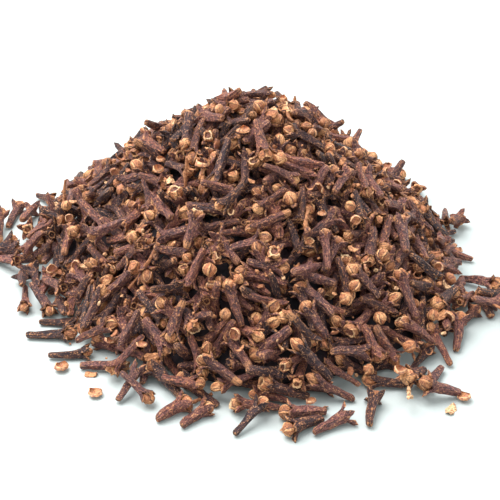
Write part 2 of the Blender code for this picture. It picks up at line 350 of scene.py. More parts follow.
class HeapSettings(bpy.types.PropertyGroup):
    """The heap's sizes and how it is poured."""

    radius: bpy.props.FloatProperty(
        name="Foot radius",
        description="Mean reach of the heap's foot",
        default=HEAP_RADIUS,
        min=0.03,
        unit="LENGTH",
    )
    height: bpy.props.FloatProperty(
        name="Height",
        description="Height of the heap's outer face at the summit",
        default=HEAP_HEIGHT,
        min=0.01,
        unit="LENGTH",
    )
    length: bpy.props.FloatProperty(
        name="Clove length",
        description="Mean length of a clove",
        default=CLOVE_LENGTH,
        min=0.008,
        unit="LENGTH",
    )
    spread: bpy.props.FloatProperty(
        name="Length spread",
        description="How much the cloves differ in length",
        default=LENGTH_SPREAD,
        min=0.0,
        unit="LENGTH",
    )
    headless: bpy.props.FloatProperty(
        name="Headless share",
        description="Share of the cloves that have lost their bud",
        default=HEADLESS_SHARE,
        min=0.0,
        max=1.0,
        subtype="FACTOR",
    )
    seed: bpy.props.IntProperty(
        name="Pour seed",
        description="Seed of the random draws of the pour",
        default=POUR_SEED,
        min=0,
    )
    wobble: bpy.props.FloatProperty(
        name="Crookedness",
        description="How far the dry skin of a clove is pushed out of shape",
        default=0.0010,
        min=0.0,
        unit="LENGTH",
    )
    loose_heads: bpy.props.IntProperty(
        name="Loose heads",
        description="Number of round heads that have come off their stems",
        default=26,
        min=0,
    )
    petals: bpy.props.IntProperty(
        name="Petal caps",
        description="Number of hollow caps of petals that lie on the heap",
        default=48,
        min=0,
    )
    crumbs: bpy.props.IntProperty(
        name="Crumbs",
        description="Number of crumbs and flakes that lie on the heap and along its hem",
        default=300,
        min=0,
    )


class FinishSettings(bpy.types.PropertyGroup):
    """The colours of the cloves and of what lies between them."""

    stem_dark: bpy.props.FloatVectorProperty(
        name="Dark stem",
        description="Colour of the darkest stems",
        default=(0.038, 0.0182, 0.0238),
        min=0.0,
        max=1.0,
        subtype="COLOR",
    )
    stem_light: bpy.props.FloatVectorProperty(
        name="Light stem",
        description="Colour of the lightest stems",
        default=(0.252, 0.089, 0.077),
        min=0.0,
        max=1.0,
        subtype="COLOR",
    )
    bud: bpy.props.FloatVectorProperty(
        name="Bud",
        description="Colour of the round buds",
        default=(0.475, 0.168, 0.071),
        min=0.0,
        max=1.0,
        subtype="COLOR",
    )
    rim: bpy.props.FloatVectorProperty(
        name="Pale edge",
        description="Colour of the teeth's edges, the cut tails and the petals",
        default=(0.860, 0.440, 0.200),
        min=0.0,
        max=1.0,
        subtype="COLOR",
    )
    crumb: bpy.props.FloatVectorProperty(
        name="Crumb",
        description="Colour of the palest crumbs and flakes",
        default=(0.800, 0.560, 0.330),
        min=0.0,
        max=1.0,
        subtype="COLOR",
    )
    # Painted shade: the near-black colour of the core deep between the cloves and of the wrinkles'
    # hollows
    depths: bpy.props.FloatVectorProperty(
        name="Depths",
        description="Colour of the core that shows deep between the cloves",
        default=(0.018, 0.0145, 0.0200),
        min=0.0,
        max=1.0,
        subtype="COLOR",
    )


class StageSettings(bpy.types.PropertyGroup):
    """The floor, the light and the camera."""

    floor: bpy.props.FloatVectorProperty(
        name="Floor",
        description="Colour of the floor",
        default=(0.425, 0.470, 0.467),
        min=0.0,
        max=1.0,
        subtype="COLOR",
    )
    key_power: bpy.props.FloatProperty(
        name="Key light",
        description="Power of the large soft light over the heap",
        default=20.2,
        min=0.0,
        unit="POWER",
    )
    sky_strength: bpy.props.FloatProperty(
        name="Sky",
        description="Strength of the even light from all sides",
        default=1.34,
        min=0.0,
    )
    distance: bpy.props.FloatProperty(
        name="Camera distance",
        description="Distance from the camera to the middle of the heap's foot",
        default=0.400,
        min=0.1,
        unit="LENGTH",
    )
    elevation: bpy.props.FloatProperty(
        name="Camera elevation",
        description="Angle of the camera above the floor",
        default=math.radians(32.0),
        min=0.0,
        max=math.radians(90.0),
        unit="ROTATION",
    )
    lens: bpy.props.FloatProperty(
        name="Lens",
        description="Focal length on a 36 mm wide sensor, in millimetres",
        default=86.4,
        min=10.0,
    )
    foot_row: bpy.props.FloatProperty(
        name="Foot's row",
        description="Row of the picture, of 500, that the middle of the heap's foot falls on",
        default=272.0,
        min=0.0,
        max=500.0,
    )


def pour_sizes(settings):
    """The sizes that the pour depends on, as the decimal values that were typed."""
    return PourSizes(
        round(settings.radius, 7),
        round(settings.height, 7),
        round(settings.length, 7),
        round(settings.spread, 7),
        round(settings.headless, 7),
        settings.seed,
    )


def foot_radius(sizes, angle):
    """How far the foot of the heap reaches in a direction: a circle with low, slow waves."""
    reach = np.ones_like(angle)
    for count, size, phase in FOOT_WAVES:
        reach = reach + size * np.cos(count * angle + phase)
    return sizes.radius * reach


def foot_share(sizes, x, y):
    """How far out a point of the ground lies, from 0 under the summit to 1 at the foot."""
    x = x - SUMMIT_OFFSET[0]
    y = y - SUMMIT_OFFSET[1]
    return np.hypot(x, y) / foot_radius(sizes, np.arctan2(y, x))


def envelope(sizes, x, y):
    """The height of the heap's outer face over a point of the ground, 0 outside the foot."""
    share = foot_share(sizes, x, y)
    rounded = np.sqrt(share**2 + SUMMIT_ROUNDING**2) - SUMMIT_ROUNDING
    full = math.sqrt(1 + SUMMIT_ROUNDING**2) - SUMMIT_ROUNDING
    return sizes.height * np.maximum(0.0, 1 - rounded / full)


def clove_radius(share):
    """The radius that a clove rests on, along its length from the tail to the bud's tip."""
    return np.interp(share, REST_SHARES, REST_RADII)


class Ground:
    """The heights that the next clove lands on."""

    def __init__(self, sizes):
        count = 2 * int(round(GRID_HALF / GRID_STEP)) + 1
        self.line = np.linspace(-GRID_HALF, GRID_HALF, count)
        self.x, self.y = np.meshgrid(self.line, self.line, indexing="ij")
        self.target = envelope(sizes, self.x, self.y)
        self.height = np.maximum(0.0, self.target - POUR_DEPTH)

    def at(self, x, y):
        """The height under each point."""
        last = len(self.line) - 1
        i = np.clip(np.rint((x + GRID_HALF) / GRID_STEP).astype(int), 0, last)
        j = np.clip(np.rint((y + GRID_HALF) / GRID_STEP).astype(int), 0, last)
        return self.height[i, j]

    def cover(self, points, radii):
        """Raises the ground to the tops of the balls that a piece is made of."""
        reach = radii.max()
        low = np.floor((points[:, :2].min(0) - reach + GRID_HALF) / GRID_STEP).astype(int)
        high = np.ceil((points[:, :2].max(0) + reach + GRID_HALF) / GRID_STEP).astype(int) + 1
        low, high = np.maximum(low, 0), np.minimum(high, len(self.line))
        part = (slice(low[0], high[0]), slice(low[1], high[1]))
        away = (self.x[part][..., None] - points[:, 0]) ** 2
        away = away + (self.y[part][..., None] - points[:, 1]) ** 2
        inside = radii**2 - away
        top = np.where(inside > 0, points[:, 2] + np.sqrt(np.maximum(inside, 0)), -1.0).max(2)
        self.height[part] = np.maximum(self.height[part], top)


def let_down(ground, x, y, yaw, length):
    """Where cloves come to rest at these places: the height of each balance point, and its slope.

    A clove turns about its first touch until a second one, past its balance point, holds it.
    """
    share = np.linspace(0.02, 0.98, TOUCH_POINTS)
    along = (share - BALANCE_SHARE) * length
    radius = clove_radius(share)
    left = np.nonzero(along < 0)[0]
    right = np.nonzero(along > 0)[0]
    slope = np.zeros(len(x))
    for _ in range(3):
        level = 1 / np.sqrt(1 + slope**2)
        out = along * level[:, None]
        px = x[:, None] + out * np.cos(yaw)[:, None]
        py = y[:, None] + out * np.sin(yaw)[:, None]
        touch = ground.at(px, py) + radius / level[:, None]
        for side in TOUCH_SIDES:
            sx = px - side * radius * np.sin(yaw)[:, None]
            sy = py + side * radius * np.cos(yaw)[:, None]
            lower = math.sqrt(1 - side**2) * radius
            touch = np.maximum(touch, ground.at(sx, sy) + lower / level[:, None])
        rise = touch[:, None, right] - touch[:, left, None]
        run = out[:, None, right] - out[:, left, None]
        chord = touch[:, left, None] - out[:, left, None] * rise / run
        best = chord.reshape(len(x), -1).argmax(1)
        steepness = (rise / run).reshape(len(x), -1)[np.arange(len(x)), best]
        slope = np.clip(steepness, -STEEPEST_SLOPE, STEEPEST_SLOPE)
        height = chord.reshape(len(x), -1).max(1)
    return height, slope


def between(draw, pair):
    """A random value between the two of a pair."""
    return pair[0] + (pair[1] - pair[0]) * draw.rand()


def lay(sizes, ground, cloves, place, yaw, tilt, draw):
    """Adds a clove to the pile, with its balance point at a place, and raises the ground to it."""
    length = sizes.length + sizes.spread * float(np.clip(draw.normal(), -1.6, 1.6))
    way = (math.cos(yaw) * math.cos(tilt), math.sin(yaw) * math.cos(tilt), math.sin(tilt))
    kind = HEADLESS if draw.rand() < sizes.headless else WHOLE
    pose = np.round(np.array([*place, *way, length, draw.rand() * 2 * math.pi]), 6)
    clove = {"middle": pose[:3], "way": pose[3:6], "length": pose[6], "roll": pose[7], "kind": kind}
    ground.cover(*clove_balls(clove))
    cloves.append(clove)


def clove_balls(clove):
    """The balls that stand for a clove, from its tail to its tip: their middles and radii."""
    share = np.linspace(0.0, 1.0, LINE_POINTS)
    along = (share - BALANCE_SHARE) * clove["length"]
    return clove["middle"] + np.outer(along, clove["way"]), clove_radius(share)


def drop(sizes, ground, cloves, x, y, highest, draw):
    """Lets a clove down near a point, at the best of a few tries, and says whether it stayed."""
    x = x + draw.normal(0, TRY_SPREAD, TRIES)
    y = y + draw.normal(0, TRY_SPREAD, TRIES)
    yaw = draw.rand(TRIES) * 2 * math.pi
    height, slope = let_down(ground, x, y, yaw, sizes.length)
    over = height - envelope(sizes, x, y)
    ends = np.abs(slope) * sizes.length * 0.5
    best = int(np.argmin(over + 0.25 * ends + UNEVENNESS * draw.rand(TRIES)))
    if over[best] > highest + 0.2 * ends[best]:
        return False
    place = (x[best], y[best], height[best])
    lay(sizes, ground, cloves, place, yaw[best], math.atan(slope[best]), draw)
    return True


def poke(sizes, ground, cloves, x, y, draw):
    """Stands a clove up in a gap of the pile, head or tail out, with the rest of it below."""
    lean = math.radians(between(draw, POKED_LEAN))
    below = 1 - BALANCE_SHARE
    if draw.rand() > HEAD_UP_SHARE:
        lean = -lean
        below = BALANCE_SHARE
    top = float(envelope(sizes, x, y)) + between(draw, POKED_PROUD)
    place = (x, y, top - below * sizes.length * abs(math.sin(lean)))
    lay(sizes, ground, cloves, place, draw.rand() * 2 * math.pi, lean, draw)


@lru_cache(maxsize=1)
def pour(sizes):
    """The cloves of the heap in the order that they fell, and the ground that they made."""
    draw = np.random.RandomState(sizes.seed)
    ground = Ground(sizes)
    cloves = []
    for highest, shallowest in FILLS:
        missed = 0
        while missed < MISSES_ALLOWED:
            room = np.maximum(0.0, ground.target - ground.height - shallowest)
            total = np.cumsum(room.ravel())
            if total[-1] <= 0:
                break
            spot = np.searchsorted(total, draw.rand() * total[-1])
            x, y = ground.x.ravel()[spot], ground.y.ravel()[spot]
            deep = room.ravel()[spot] + shallowest > POKED_DEPTH
            if deep and draw.rand() < POKED_SHARE and envelope(sizes, x, y) > POKED_ABOVE:
                poke(sizes, ground, cloves, x, y, draw)
            elif drop(sizes, ground, cloves, x, y, highest, draw):
                missed = 0
            else:
                missed += 1
    for _ in range(FRINGE_TRIES):
        angle = 2 * math.pi * draw.rand()
        reach = float(foot_radius(sizes, np.array(angle))) * between(draw, FRINGE_REACH)
        x = SUMMIT_OFFSET[0] + reach * math.cos(angle)
        y = SUMMIT_OFFSET[1] + reach * math.sin(angle)
        drop(sizes, ground, cloves, x, y, FRINGE_HIGHEST - float(envelope(sizes, x, y)), draw)
    return cloves, ground


class Skin:
    """A closed skin under construction: its points, its faces and how each point is coloured.

    The grain says where each point lies on an unbent clove, for the wrinkles and the seams.
    """

    def __init__(self, seed=0):
        self.points = []
        self.faces = []
        self.bud = []
        self.rim = []
        self.grain = None
        self.draw = np.random.RandomState(seed)

    def add(self, point, bud=0.0, rim=0.0):
        """Adds a point and gives its number."""
        self.points.append(point)
        self.bud.append(bud)
        self.rim.append(rim)
        return len(self.points) - 1

    def swing(self):
        """A random value from -1 to 1."""
        return 2 * self.draw.rand() - 1

    def ring(self, height, reach, squareness=0.0, uneven=0.0, bud=0.0, rim=0.0):
        """Adds a ring of points round the Z axis, wider towards its four teeth."""
        numbers = []
        for k in range(SIDES):
            radius = reach * (1 + squareness * math.cos(TEETH * k * TURN))
            radius = radius * (1 + uneven * self.swing())
            spot = (radius * math.cos(k * TURN), radius * math.sin(k * TURN), height)
            numbers.append(self.add(spot, bud, rim))
        return numbers

    def petal_ring(self, height, reach, base, lean=0.0, ragged=0.0, bud=1.0, rim=0.0, lit=None):
        """Adds a ring round a bud, stepped where each of its petals laps over the next.

        With a direction given as lit, only the side of the ring that faces it is pale.
        """
        numbers = []
        each = BUD_SIDES // PETALS
        for k in range(BUD_SIDES):
            across = (k % each) / (each - 1)
            petal = k // each + PETAL_CREST * across
            angle = 2 * math.pi / PETALS * petal + PETAL_TWIST * height
            uneven = PETAL_UNEVENNESS * (self.draw.rand() - 0.5)
            radius = reach * (1 + PETAL_LAP * (across - 0.5) + uneven)
            x, y = radius * math.cos(angle), radius * math.sin(angle)
            z = base + height + lean * x + ragged * self.swing()
            # Painted highlight: the ring is paler on the side that faces the direction lit
            pale = rim if lit is None else rim * (0.70 + 0.30 * math.cos(angle - lit))
            numbers.append(self.add((x, y, z), bud, pale))
        return numbers

    def lower(self, number, depth, narrowing=1.0):
        """Moves a point down by a depth, and in towards the Z axis."""
        x, y, z = self.points[number]
        self.points[number] = (narrowing * x, narrowing * y, z - depth)

    def join(self, low, high):
        """Joins two rings, the first one below the second."""
        for k in range(len(low)):
            self.faces.append((low[k], low[k + 1 - len(low)], high[k + 1 - len(low)], high[k]))

    def cap(self, ring, point, upwards=True):
        """Closes a ring with a fan to one point."""
        for k in range(len(ring)):
            pair = (ring[k], ring[k + 1 - len(ring)])
            self.faces.append((*pair, point) if upwards else (pair[1], pair[0], point))


def part_way(pair, share):
    """The value that lies a share of the way from the first of a pair to the second."""
    return pair[0] + (pair[1] - pair[0]) * share


def add_stem(skin, length):
    """The stem from its cut tail to the calyx, four-angled and uneven. Gives its top ring."""
    rings = []
    for share, reach in STEM_PROFILE:
        pale = TAIL_PALENESS if share < 0.02 else 0.0
        rings.append(skin.ring(share * length, reach, STEM_SQUARENESS, STEM_UNEVENNESS, rim=pale))
    skin.cap(rings[0], skin.add((0, 0, TAIL_HOLLOW), rim=CUT_PALENESS), upwards=False)
    for low, high in zip(rings, rings[1:]):
        skin.join(low, high)
    return rings[-1]


def add_calyx(skin, stem_top, spread, height):
    """The calyx with its four teeth, bent outwards by their spread. Gives the ring inside them."""
    outer = skin.ring(height, RIM_RADIUS, RIM_UNEVENNESS, RIM_UNEVENNESS)
    inner = skin.ring(height + SEAT_RISE, SEAT_RADIUS, rim=SEAT_PALENESS)
    for valley in outer[1::2]:
        skin.lower(valley, VALLEY_DEPTH, VALLEY_NARROWING)
    for valley in inner[1::2]:
        skin.lower(valley, VALLEY_DEPTH)
    skin.join(stem_top, outer)
    for tooth in range(TEETH):
        add_tooth(skin, outer, inner, tooth, spread, height)
    return inner


def add_tooth(skin, outer, inner, tooth, spread, height):
    """One thick pointed tooth, with a keel along its outside and pale edges along its inside."""
    varied = TOOTH_VARIETY * (2 * skin.draw.rand(2) - 1)
    reach = part_way(TOOTH_REACH, spread) + varied[0]
    rise = part_way(TOOTH_RISE, spread) + varied[1]
    around = tooth * 2 * TURN + TOOTH_SWAY * skin.swing()
    out = Vector((math.cos(around), math.sin(around), 0))
    aside = Vector((-out.y, out.x, 0))
    half_out = part_way((RIM_RADIUS, reach), TOOTH_MIDDLE_OUT)
    middle = []
    within = []
    for side in (-1, 0, 1):
        keel = TOOTH_KEEL if side == 0 else 0.0
        spot = out * (half_out + keel) + aside * (side * TOOTH_HALF_WIDTH)
        spot.z = height + TOOTH_MIDDLE_UP * rise
        middle.append(skin.add(spot, rim=TOOTH_SIDE_PALENESS if side else 0.0))
        spot = spot - out * (0.8 * TOOTH_THICKNESS)
        spot.z += 0.6 * TOOTH_THICKNESS
        within.append(skin.add(spot, rim=TOOTH_EDGE_PALENESS if side else 0.0))
    tip = out * reach + Vector((0, 0, height + rise))
    tip = skin.add(tip, rim=TOOTH_TIP_PALENESS)
    corners = [(2 * tooth + k) % SIDES for k in (-1, 0, 1)]
    low = [outer[k] for k in corners]
    deep = [inner[k] for k in corners]
    skin.faces += [
        (low[0], low[1], middle[1], middle[0]),
        (low[1], low[2], middle[2], middle[1]),
        (middle[0], middle[1], tip),
        (middle[1], middle[2], tip),
        (deep[1], deep[0], within[0], within[1]),
        (deep[2], deep[1], within[1], within[2]),
        (within[1], within[0], tip),
        (within[2], within[1], tip),
        (low[0], middle[0], within[0], deep[0]),
        (middle[0], tip, within[0]),
        (low[2], deep[2], within[2], middle[2]),
        (middle[2], within[2], tip),
    ]


def add_bud(skin, shape, height):
    """The round bud of four petals that lap over each other, sunk in the calyx."""
    rings = []
    for rise, reach in BUD_RINGS:
        rings.append(skin.petal_ring(rise * shape.height, reach * shape.width, height))
    skin.cap(rings[0], skin.add((0, 0, height + BUD_FOOT), bud=1.0), upwards=False)
    for low, high in zip(rings, rings[1:]):
        skin.join(low, high)
    skin.cap(rings[-1], skin.add((0, 0, height + BUD_TOP * shape.height), bud=1.0))


def add_torn_bud(skin, shape, height):
    """A bud torn open at the top: a ragged rim, paler on one side as a painted highlight, round its
    inside.
    """
    lean = TORN_LEAN * skin.swing()
    lit = 2 * math.pi * skin.draw.rand()
    highest = TORN_RINGS[-1][0]
    rings = []
    for rise, reach in TORN_RINGS:
        torn = rise == highest
        ring = skin.petal_ring(
            rise * shape.height,
            reach * shape.width,
            height,
            lean=lean * rise / highest,
            ragged=TORN_RAGGEDNESS if torn else 0.0,
            rim=TORN_PALENESS if torn else 0.0,
            lit=lit,
        )
        rings.append(ring)
    top_rise = highest * shape.height
    top_reach = TORN_RINGS[-1][1] * shape.width
    inside = top_reach - TORN_RIM_WIDTH
    within = skin.petal_ring(top_rise - 0.0001, inside, height, lean, 0.0001, rim=1.0, lit=lit)
    inside = top_reach - 1.5 * TORN_RIM_WIDTH
    floor = skin.petal_ring(top_rise - TORN_SINK, inside, height, lean, 0.0002, bud=0.2)
    skin.cap(rings[0], skin.add((0, 0, height + BUD_FOOT), bud=1.0), upwards=False)
    for low, high in zip(rings + [within], rings[1:] + [within, floor]):
        skin.join(low, high)
    middle = (0, 0, height + top_rise - 0.4 * TORN_SINK)
    skin.cap(floor, skin.add(middle, bud=0.3, rim=0.3))


def add_empty_seat(skin, seat, height):
    """What is left where the bud fell off: a square rim round a hollow, and the style in it."""
    below = seat
    for rise, reach, pale in OPEN_RINGS:
        ring = skin.ring(height + rise, reach, OPEN_SQUARENESS, OPEN_UNEVENNESS, rim=pale)
        skin.join(below, ring)
        below = ring
    style = skin.ring(height - 0.0001, STYLE_RADIUS, rim=0.3)
    skin.join(below, style)
    skin.cap(style, skin.add((0, 0, height + STYLE_TOP), rim=0.9))


def clove_skin(shape):
    """A clove of a given shape, at the usual length, with its balance point at the origin."""
    skin = Skin(shape.seed)
    height = CALYX_SHARE * CLOVE_LENGTH
    top = add_stem(skin, CLOVE_LENGTH)
    seat = add_calyx(skin, top, shape.spread, height)
    if shape.kind == "open":
        add_empty_seat(skin, seat, height)
    else:
        skin.cap(seat, skin.add((0, 0, height - SEAT_DEPTH)))
        if shape.kind == "torn":
            add_torn_bud(skin, shape, height)
        else:
            add_bud(skin, shape, height)
    skin.grain = list(skin.points)
    bent = []
    for x, y, z in skin.points:
        bow = shape.bend * (1 - (2 * z / CLOVE_LENGTH - 1) ** 2)
        bent.append((x + bow, y + 0.4 * bow * z / CLOVE_LENGTH, z - BALANCE_SHARE * CLOVE_LENGTH))
    skin.points = bent
    return skin


def head_skin(shape):
    """A round head that has come off its stem, about its own middle."""
    skin = Skin(shape.seed)
    add_bud(skin, shape, 0.0)
    skin.grain = [(x, y, z + CALYX_SHARE * CLOVE_LENGTH) for x, y, z in skin.points]
    skin.points = [(x, y, z - HEAD_MIDDLE) for x, y, z in skin.points]
    return skin


def cap_skin(deep):
    """A hollow cap of petals, open upwards, with a thin ragged wall."""
    skin = Skin(int(100 * deep))
    outside = skin.add((0, 0, -0.0001), bud=1.0, rim=0.2)
    inside = skin.add((0, 0, CAP_WALL), bud=0.6, rim=0.5)
    ragged = [CAP_RAGGEDNESS * skin.swing() for _ in range(SIDES)]
    walls = []
    for wall, pale in ((0.0, 0.2), (CAP_WALL, 0.3)):
        rings = []
        for number, (height, reach) in enumerate(CAP_RINGS):
            square = 0.03 * number - 0.05
            edge = 1.0 if number == 0 else pale
            rings.append(skin.ring(height * deep + wall, reach - wall, square, 0.06, 1.0, edge))
        for point, lift in zip(rings[0], ragged):
            skin.lower(point, -lift)
        walls.append(rings)
    outer, inner = walls
    for low, high in zip(outer[1:], outer):
        skin.join(low, high)
    for low, high in zip(inner[1:], inner):
        skin.join(list(reversed(low)), list(reversed(high)))
    skin.join(outer[0], inner[0])
    skin.cap(outer[-1], outside, upwards=False)
    skin.cap(inner[-1], inside)
    return skin


def stalk_skin(length, bend):
    """A thin dry stalk with a thicker knot near its middle, along Z and about its own middle."""
    skin = Skin()
    rings = []
    for step in range(STALK_STEPS + 1):
        share = step / STALK_STEPS
        swell = KNOT_SWELL * math.exp(-(((share - KNOT_SHARE) / KNOT_HALF_SHARE) ** 2))
        reach = STALK_RADIUS + swell + STALK_FLARE * share
        rings.append(skin.ring((share - 0.5) * length, reach, rim=0.8))
    skin.cap(rings[0], skin.add((0, 0, -0.5 * length), rim=1.0), upwards=False)
    for low, high in zip(rings, rings[1:]):
        skin.join(low, high)
    skin.cap(rings[-1], skin.add((0, 0, 0.5 * length), rim=1.0))
    skin.points = [(x + bend * (1 - (2 * z / length) ** 2), y, z) for x, y, z in skin.points]
    return skin


def flake_skin(length, width, curl, seed):
    """A thin ragged flake, rolled along its length by an angle, about its own middle."""
    skin = Skin(seed)
    radius = length / curl
    edges = [0.75 + 0.5 * skin.draw.rand() for _ in range(2 * FLAKE_STEPS + 2)]
    sheets = []
    for side in (-1, 1):
        rows = []
        for step in range(FLAKE_STEPS + 1):
            share = step / FLAKE_STEPS - 0.5
            half = 0.5 * width * math.sqrt(max(0.06, 1 - (1.8 * share) ** 2))
            out = radius + side * FLAKE_THICKNESS
            turned = share * curl
            row = []
            for across in (-1, 0, 1):
                ragged = edges[2 * step + (across > 0)] if across else 1.0
                dip = FLAKE_DIP * width * across**2
                height = radius - out * math.cos(turned) - dip
                spot = (out * math.sin(turned), across * half * ragged, height)
                row.append(skin.add(spot, rim=0.9 if across else 0.5))
            rows.append(row)
        sheets.append(rows)
    upper, lower = sheets
    for step in range(FLAKE_STEPS):
        for k in range(2):
            one, two = upper[step], upper[step + 1]
            skin.faces.append((one[k], two[k], two[k + 1], one[k + 1]))
            one, two = lower[step], lower[step + 1]
            skin.faces.append((one[k], one[k + 1], two[k + 1], two[k]))
        skin.faces.append((lower[step][0], lower[step + 1][0], upper[step + 1][0], upper[step][0]))
        skin.faces.append((lower[step][2], upper[step][2], upper[step + 1][2], lower[step + 1][2]))
    for k in range(2):
        first, last = lower[0], upper[0]
        skin.faces.append((first[k], last[k], last[k + 1], first[k + 1]))
        first, last = lower[-1], upper[-1]
        skin.faces.append((first[k], first[k + 1], last[k + 1], last[k]))
    return skin


def chip_skin(seed):
    """A small broken crumb, an uneven lump."""
    skin = Skin(seed)
    rings = []
    for height, reach in CHIP_RINGS:
        ring = []
        for k in range(CHIP_CORNERS):
            angle = 2 * math.pi * k / CHIP_CORNERS
            radius = CHIP_SIZE * reach * (0.45 + skin.draw.rand())
            spot = (radius * math.cos(angle), radius * math.sin(angle), CHIP_SIZE * height * 0.6)
            ring.append(skin.add(spot, rim=0.7))
        rings.append(ring)
    for low, high in zip(rings, rings[1:]):
        skin.join(low, high)
    skin.cap(rings[0], skin.add((0, 0, -0.3 * CHIP_SIZE), rim=0.9), upwards=False)
    skin.cap(rings[-1], skin.add((0, 0, 0.32 * CHIP_SIZE), rim=0.9))
    return skin


def skin_object(name, skin, collection):
    """An object of a skin, smooth, with its own coordinates and colouring kept on its points."""
    mesh = bpy.data.meshes.new(name)
    mesh.from_pydata(skin.points, [], skin.faces)
    mesh.shade_smooth()
    grain = mesh.attributes.new("grain", "FLOAT_VECTOR", "POINT")
    spots = skin.grain or skin.points
    grain.data.foreach_set("vector", np.array(spots, dtype=float).ravel())
    for label, values in (("bud", skin.bud), ("rim", skin.rim)):
        mask = mesh.attributes.new(label, "FLOAT", "POINT")
        mask.data.foreach_set("value", values)
    made = bpy.data.objects.new(name, mesh)
    collection.objects.link(made)
    return made


def turn_along(way, roll):
    """The turn that lays a piece's Z axis along a direction, rolled about it."""
    way = Vector(way)
    first = way.orthogonal().normalized()
    second = way.cross(first)
    across = first * math.cos(roll) + second * math.sin(roll)
    beside = second * math.cos(roll) - first * math.sin(roll)
    return Matrix((across, beside, way.normalized())).transposed().to_quaternion()


def placed_cloves(cloves, wanted, shapes, seed):
    """Where the cloves of one sort lie, each with its turn, its size, its shape and its tint."""
    draw = np.random.RandomState(seed)
    placed = []
    for clove in cloves:
        thickness = between(draw, THICKNESS_RANGE)
        flatness = between(draw, FLATNESS_RANGE)
        shape = draw.randint(len(shapes))
        tint = draw.rand()
        if clove["sort"] != wanted:
            continue
        stretch = clove["length"] / CLOVE_LENGTH
        turn = turn_along(clove["way"], clove["roll"])
        size = (thickness * flatness, thickness / flatness, stretch)
        placed.append(Placed(clove["middle"], turn, size, shape, tint))
    return placed


def reach_share(sizes, clove):
    """How far out the outermost end of a clove lies, as a share of the foot's reach."""
    points, _ = clove_balls(clove)
    return float(foot_share(sizes, points[:, 0], points[:, 1]).max())


def sorted_cloves(sizes):
    """The poured cloves, each sorted as full, slim, torn or open, without far strays."""
    cloves, _ = pour(sizes)
    draw = np.random.RandomState(DRESS_SEED)
    for clove in cloves:
        luck = draw.rand()
        if clove["kind"] == HEADLESS:
            clove["sort"] = "open"
        elif luck < SLIM_SHARE:
            clove["sort"] = "slim"
        else:
            clove["sort"] = "torn" if luck < SLIM_SHARE + TORN_SHARE else "full"
        if reach_share(sizes, clove) >= FAR_SHARE:
            clove["sort"] = "left out"
    return cloves


def ball_height(ground, x, y, radius):
    """How high the middle of a ball comes to rest at each point of the ground."""
    height = ground.at(x, y) + radius
    for reach in (0.45, 0.85):
        above = radius * math.sqrt(1 - reach**2)
        for side in range(SIDES):
            dx = reach * radius * math.cos(side * TURN)
            dy = reach * radius * math.sin(side * TURN)
            height = np.maximum(height, ground.at(x + dx, y + dy) + above)
    return height


def nestled(sizes, ground, draw, count, kind):
    """Lays small round pieces one by one where they nestle lowest, and gives their places."""
    places = []
    for _ in range(count):
        angle = 2 * math.pi * draw.rand()
        share = LOOSE_REACH * math.sqrt(draw.rand())
        reach = share * float(foot_radius(sizes, np.array(angle)))
        x = SUMMIT_OFFSET[0] + reach * math.cos(angle) + draw.normal(0, LOOSE_SPREAD, LOOSE_TRIES)
        y = SUMMIT_OFFSET[1] + reach * math.sin(angle) + draw.normal(0, LOOSE_SPREAD, LOOSE_TRIES)
        height = ball_height(ground, x, y, kind.radius)
        best = int(np.argmin(height - envelope(sizes, x, y)))
        place = np.array([x[best], y[best], height[best] - kind.sink])
        ground.cover(place[None, :], np.array([kind.radius * 0.9]))
        places.append(np.round(place, 6))
    return places


def any_turn(draw, most_tilt):
    """A random turn, tilted away from upright by at most so much."""
    tilt = most_tilt * draw.rand()
    yaw = 2 * math.pi * draw.rand()
    way = (math.sin(tilt) * math.cos(yaw), math.sin(tilt) * math.sin(yaw), math.cos(tilt))
    return turn_along(way, 2 * math.pi * draw.rand())


def placed_loose(sizes, ground, draw, count, kind):
    """Where loose pieces of a kind lie, each with its turn, its size, its shape and its tint."""
    placed = []
    for place in nestled(sizes, ground, draw, count, kind):
        size = kind.smallest + kind.growth * draw.rand() ** kind.rarity
        turn = any_turn(draw, kind.most_tilt)
        placed.append(Placed(place, turn, (size,) * 3, draw.randint(kind.shapes), draw.rand()))
    return placed


def placed_stalks(sizes, ground, draw, count):
    """Where the stalks lie, all nearly level."""
    kind = LOOSE_STALKS
    placed = []
    for place in nestled(sizes, ground, draw, count, kind):
        turn = any_turn(draw, kind.most_tilt)
        level = Vector((1, 0, 0.25 - 0.5 * draw.rand())).to_track_quat("Z", "X")
        shape = draw.randint(kind.shapes)
        placed.append(Placed(place, level @ turn, (1, 1, 1), shape, STALK_MOST_TINT * draw.rand()))
    return placed


@lru_cache(maxsize=1)
def strewn(sizes, heads, petals, crumbs):
    """Where the loose heads, the caps, the stalks, the flakes and the crumbs lie."""
    _, poured = pour(sizes)
    ground = Ground(sizes)
    ground.height = poured.height.copy()
    draw = np.random.RandomState(DRESS_SEED + 1)
    loose = {
        "heads": placed_loose(sizes, ground, draw, heads, LOOSE_HEADS),
        "caps": placed_loose(sizes, ground, draw, petals, LOOSE_CAPS),
        "stalks": placed_stalks(sizes, ground, draw, petals // 8),
        "flakes": placed_loose(sizes, ground, draw, crumbs // 4, LOOSE_FLAKES),
        "chips": placed_loose(sizes, ground, draw, crumbs * 3 // 4, LOOSE_CHIPS),
    }
    for kind, shape, (x, y), yaw, size, tint in MARKED_PIECES:
        flat = kind != "stalks"
        way = Vector((0, 0, 1)) if flat else Vector((math.cos(yaw), math.sin(yaw), 0))
        height = MARKED_FLAT_HEIGHT if flat else MARKED_STALK_HEIGHT
        height += float(ground.at(np.array([x]), np.array([y]))[0])
        loose[kind].append(Placed((x, y, height), turn_along(way, yaw), (size,) * 3, shape, tint))
    return loose


def add_node(tree, kind, place, **choices):
    """Adds a node to a tree at a place, with its choices set."""
    node = tree.nodes.new(kind)
    node.location = place
    for label, value in choices.items():
        setattr(node, label, value)
    return node


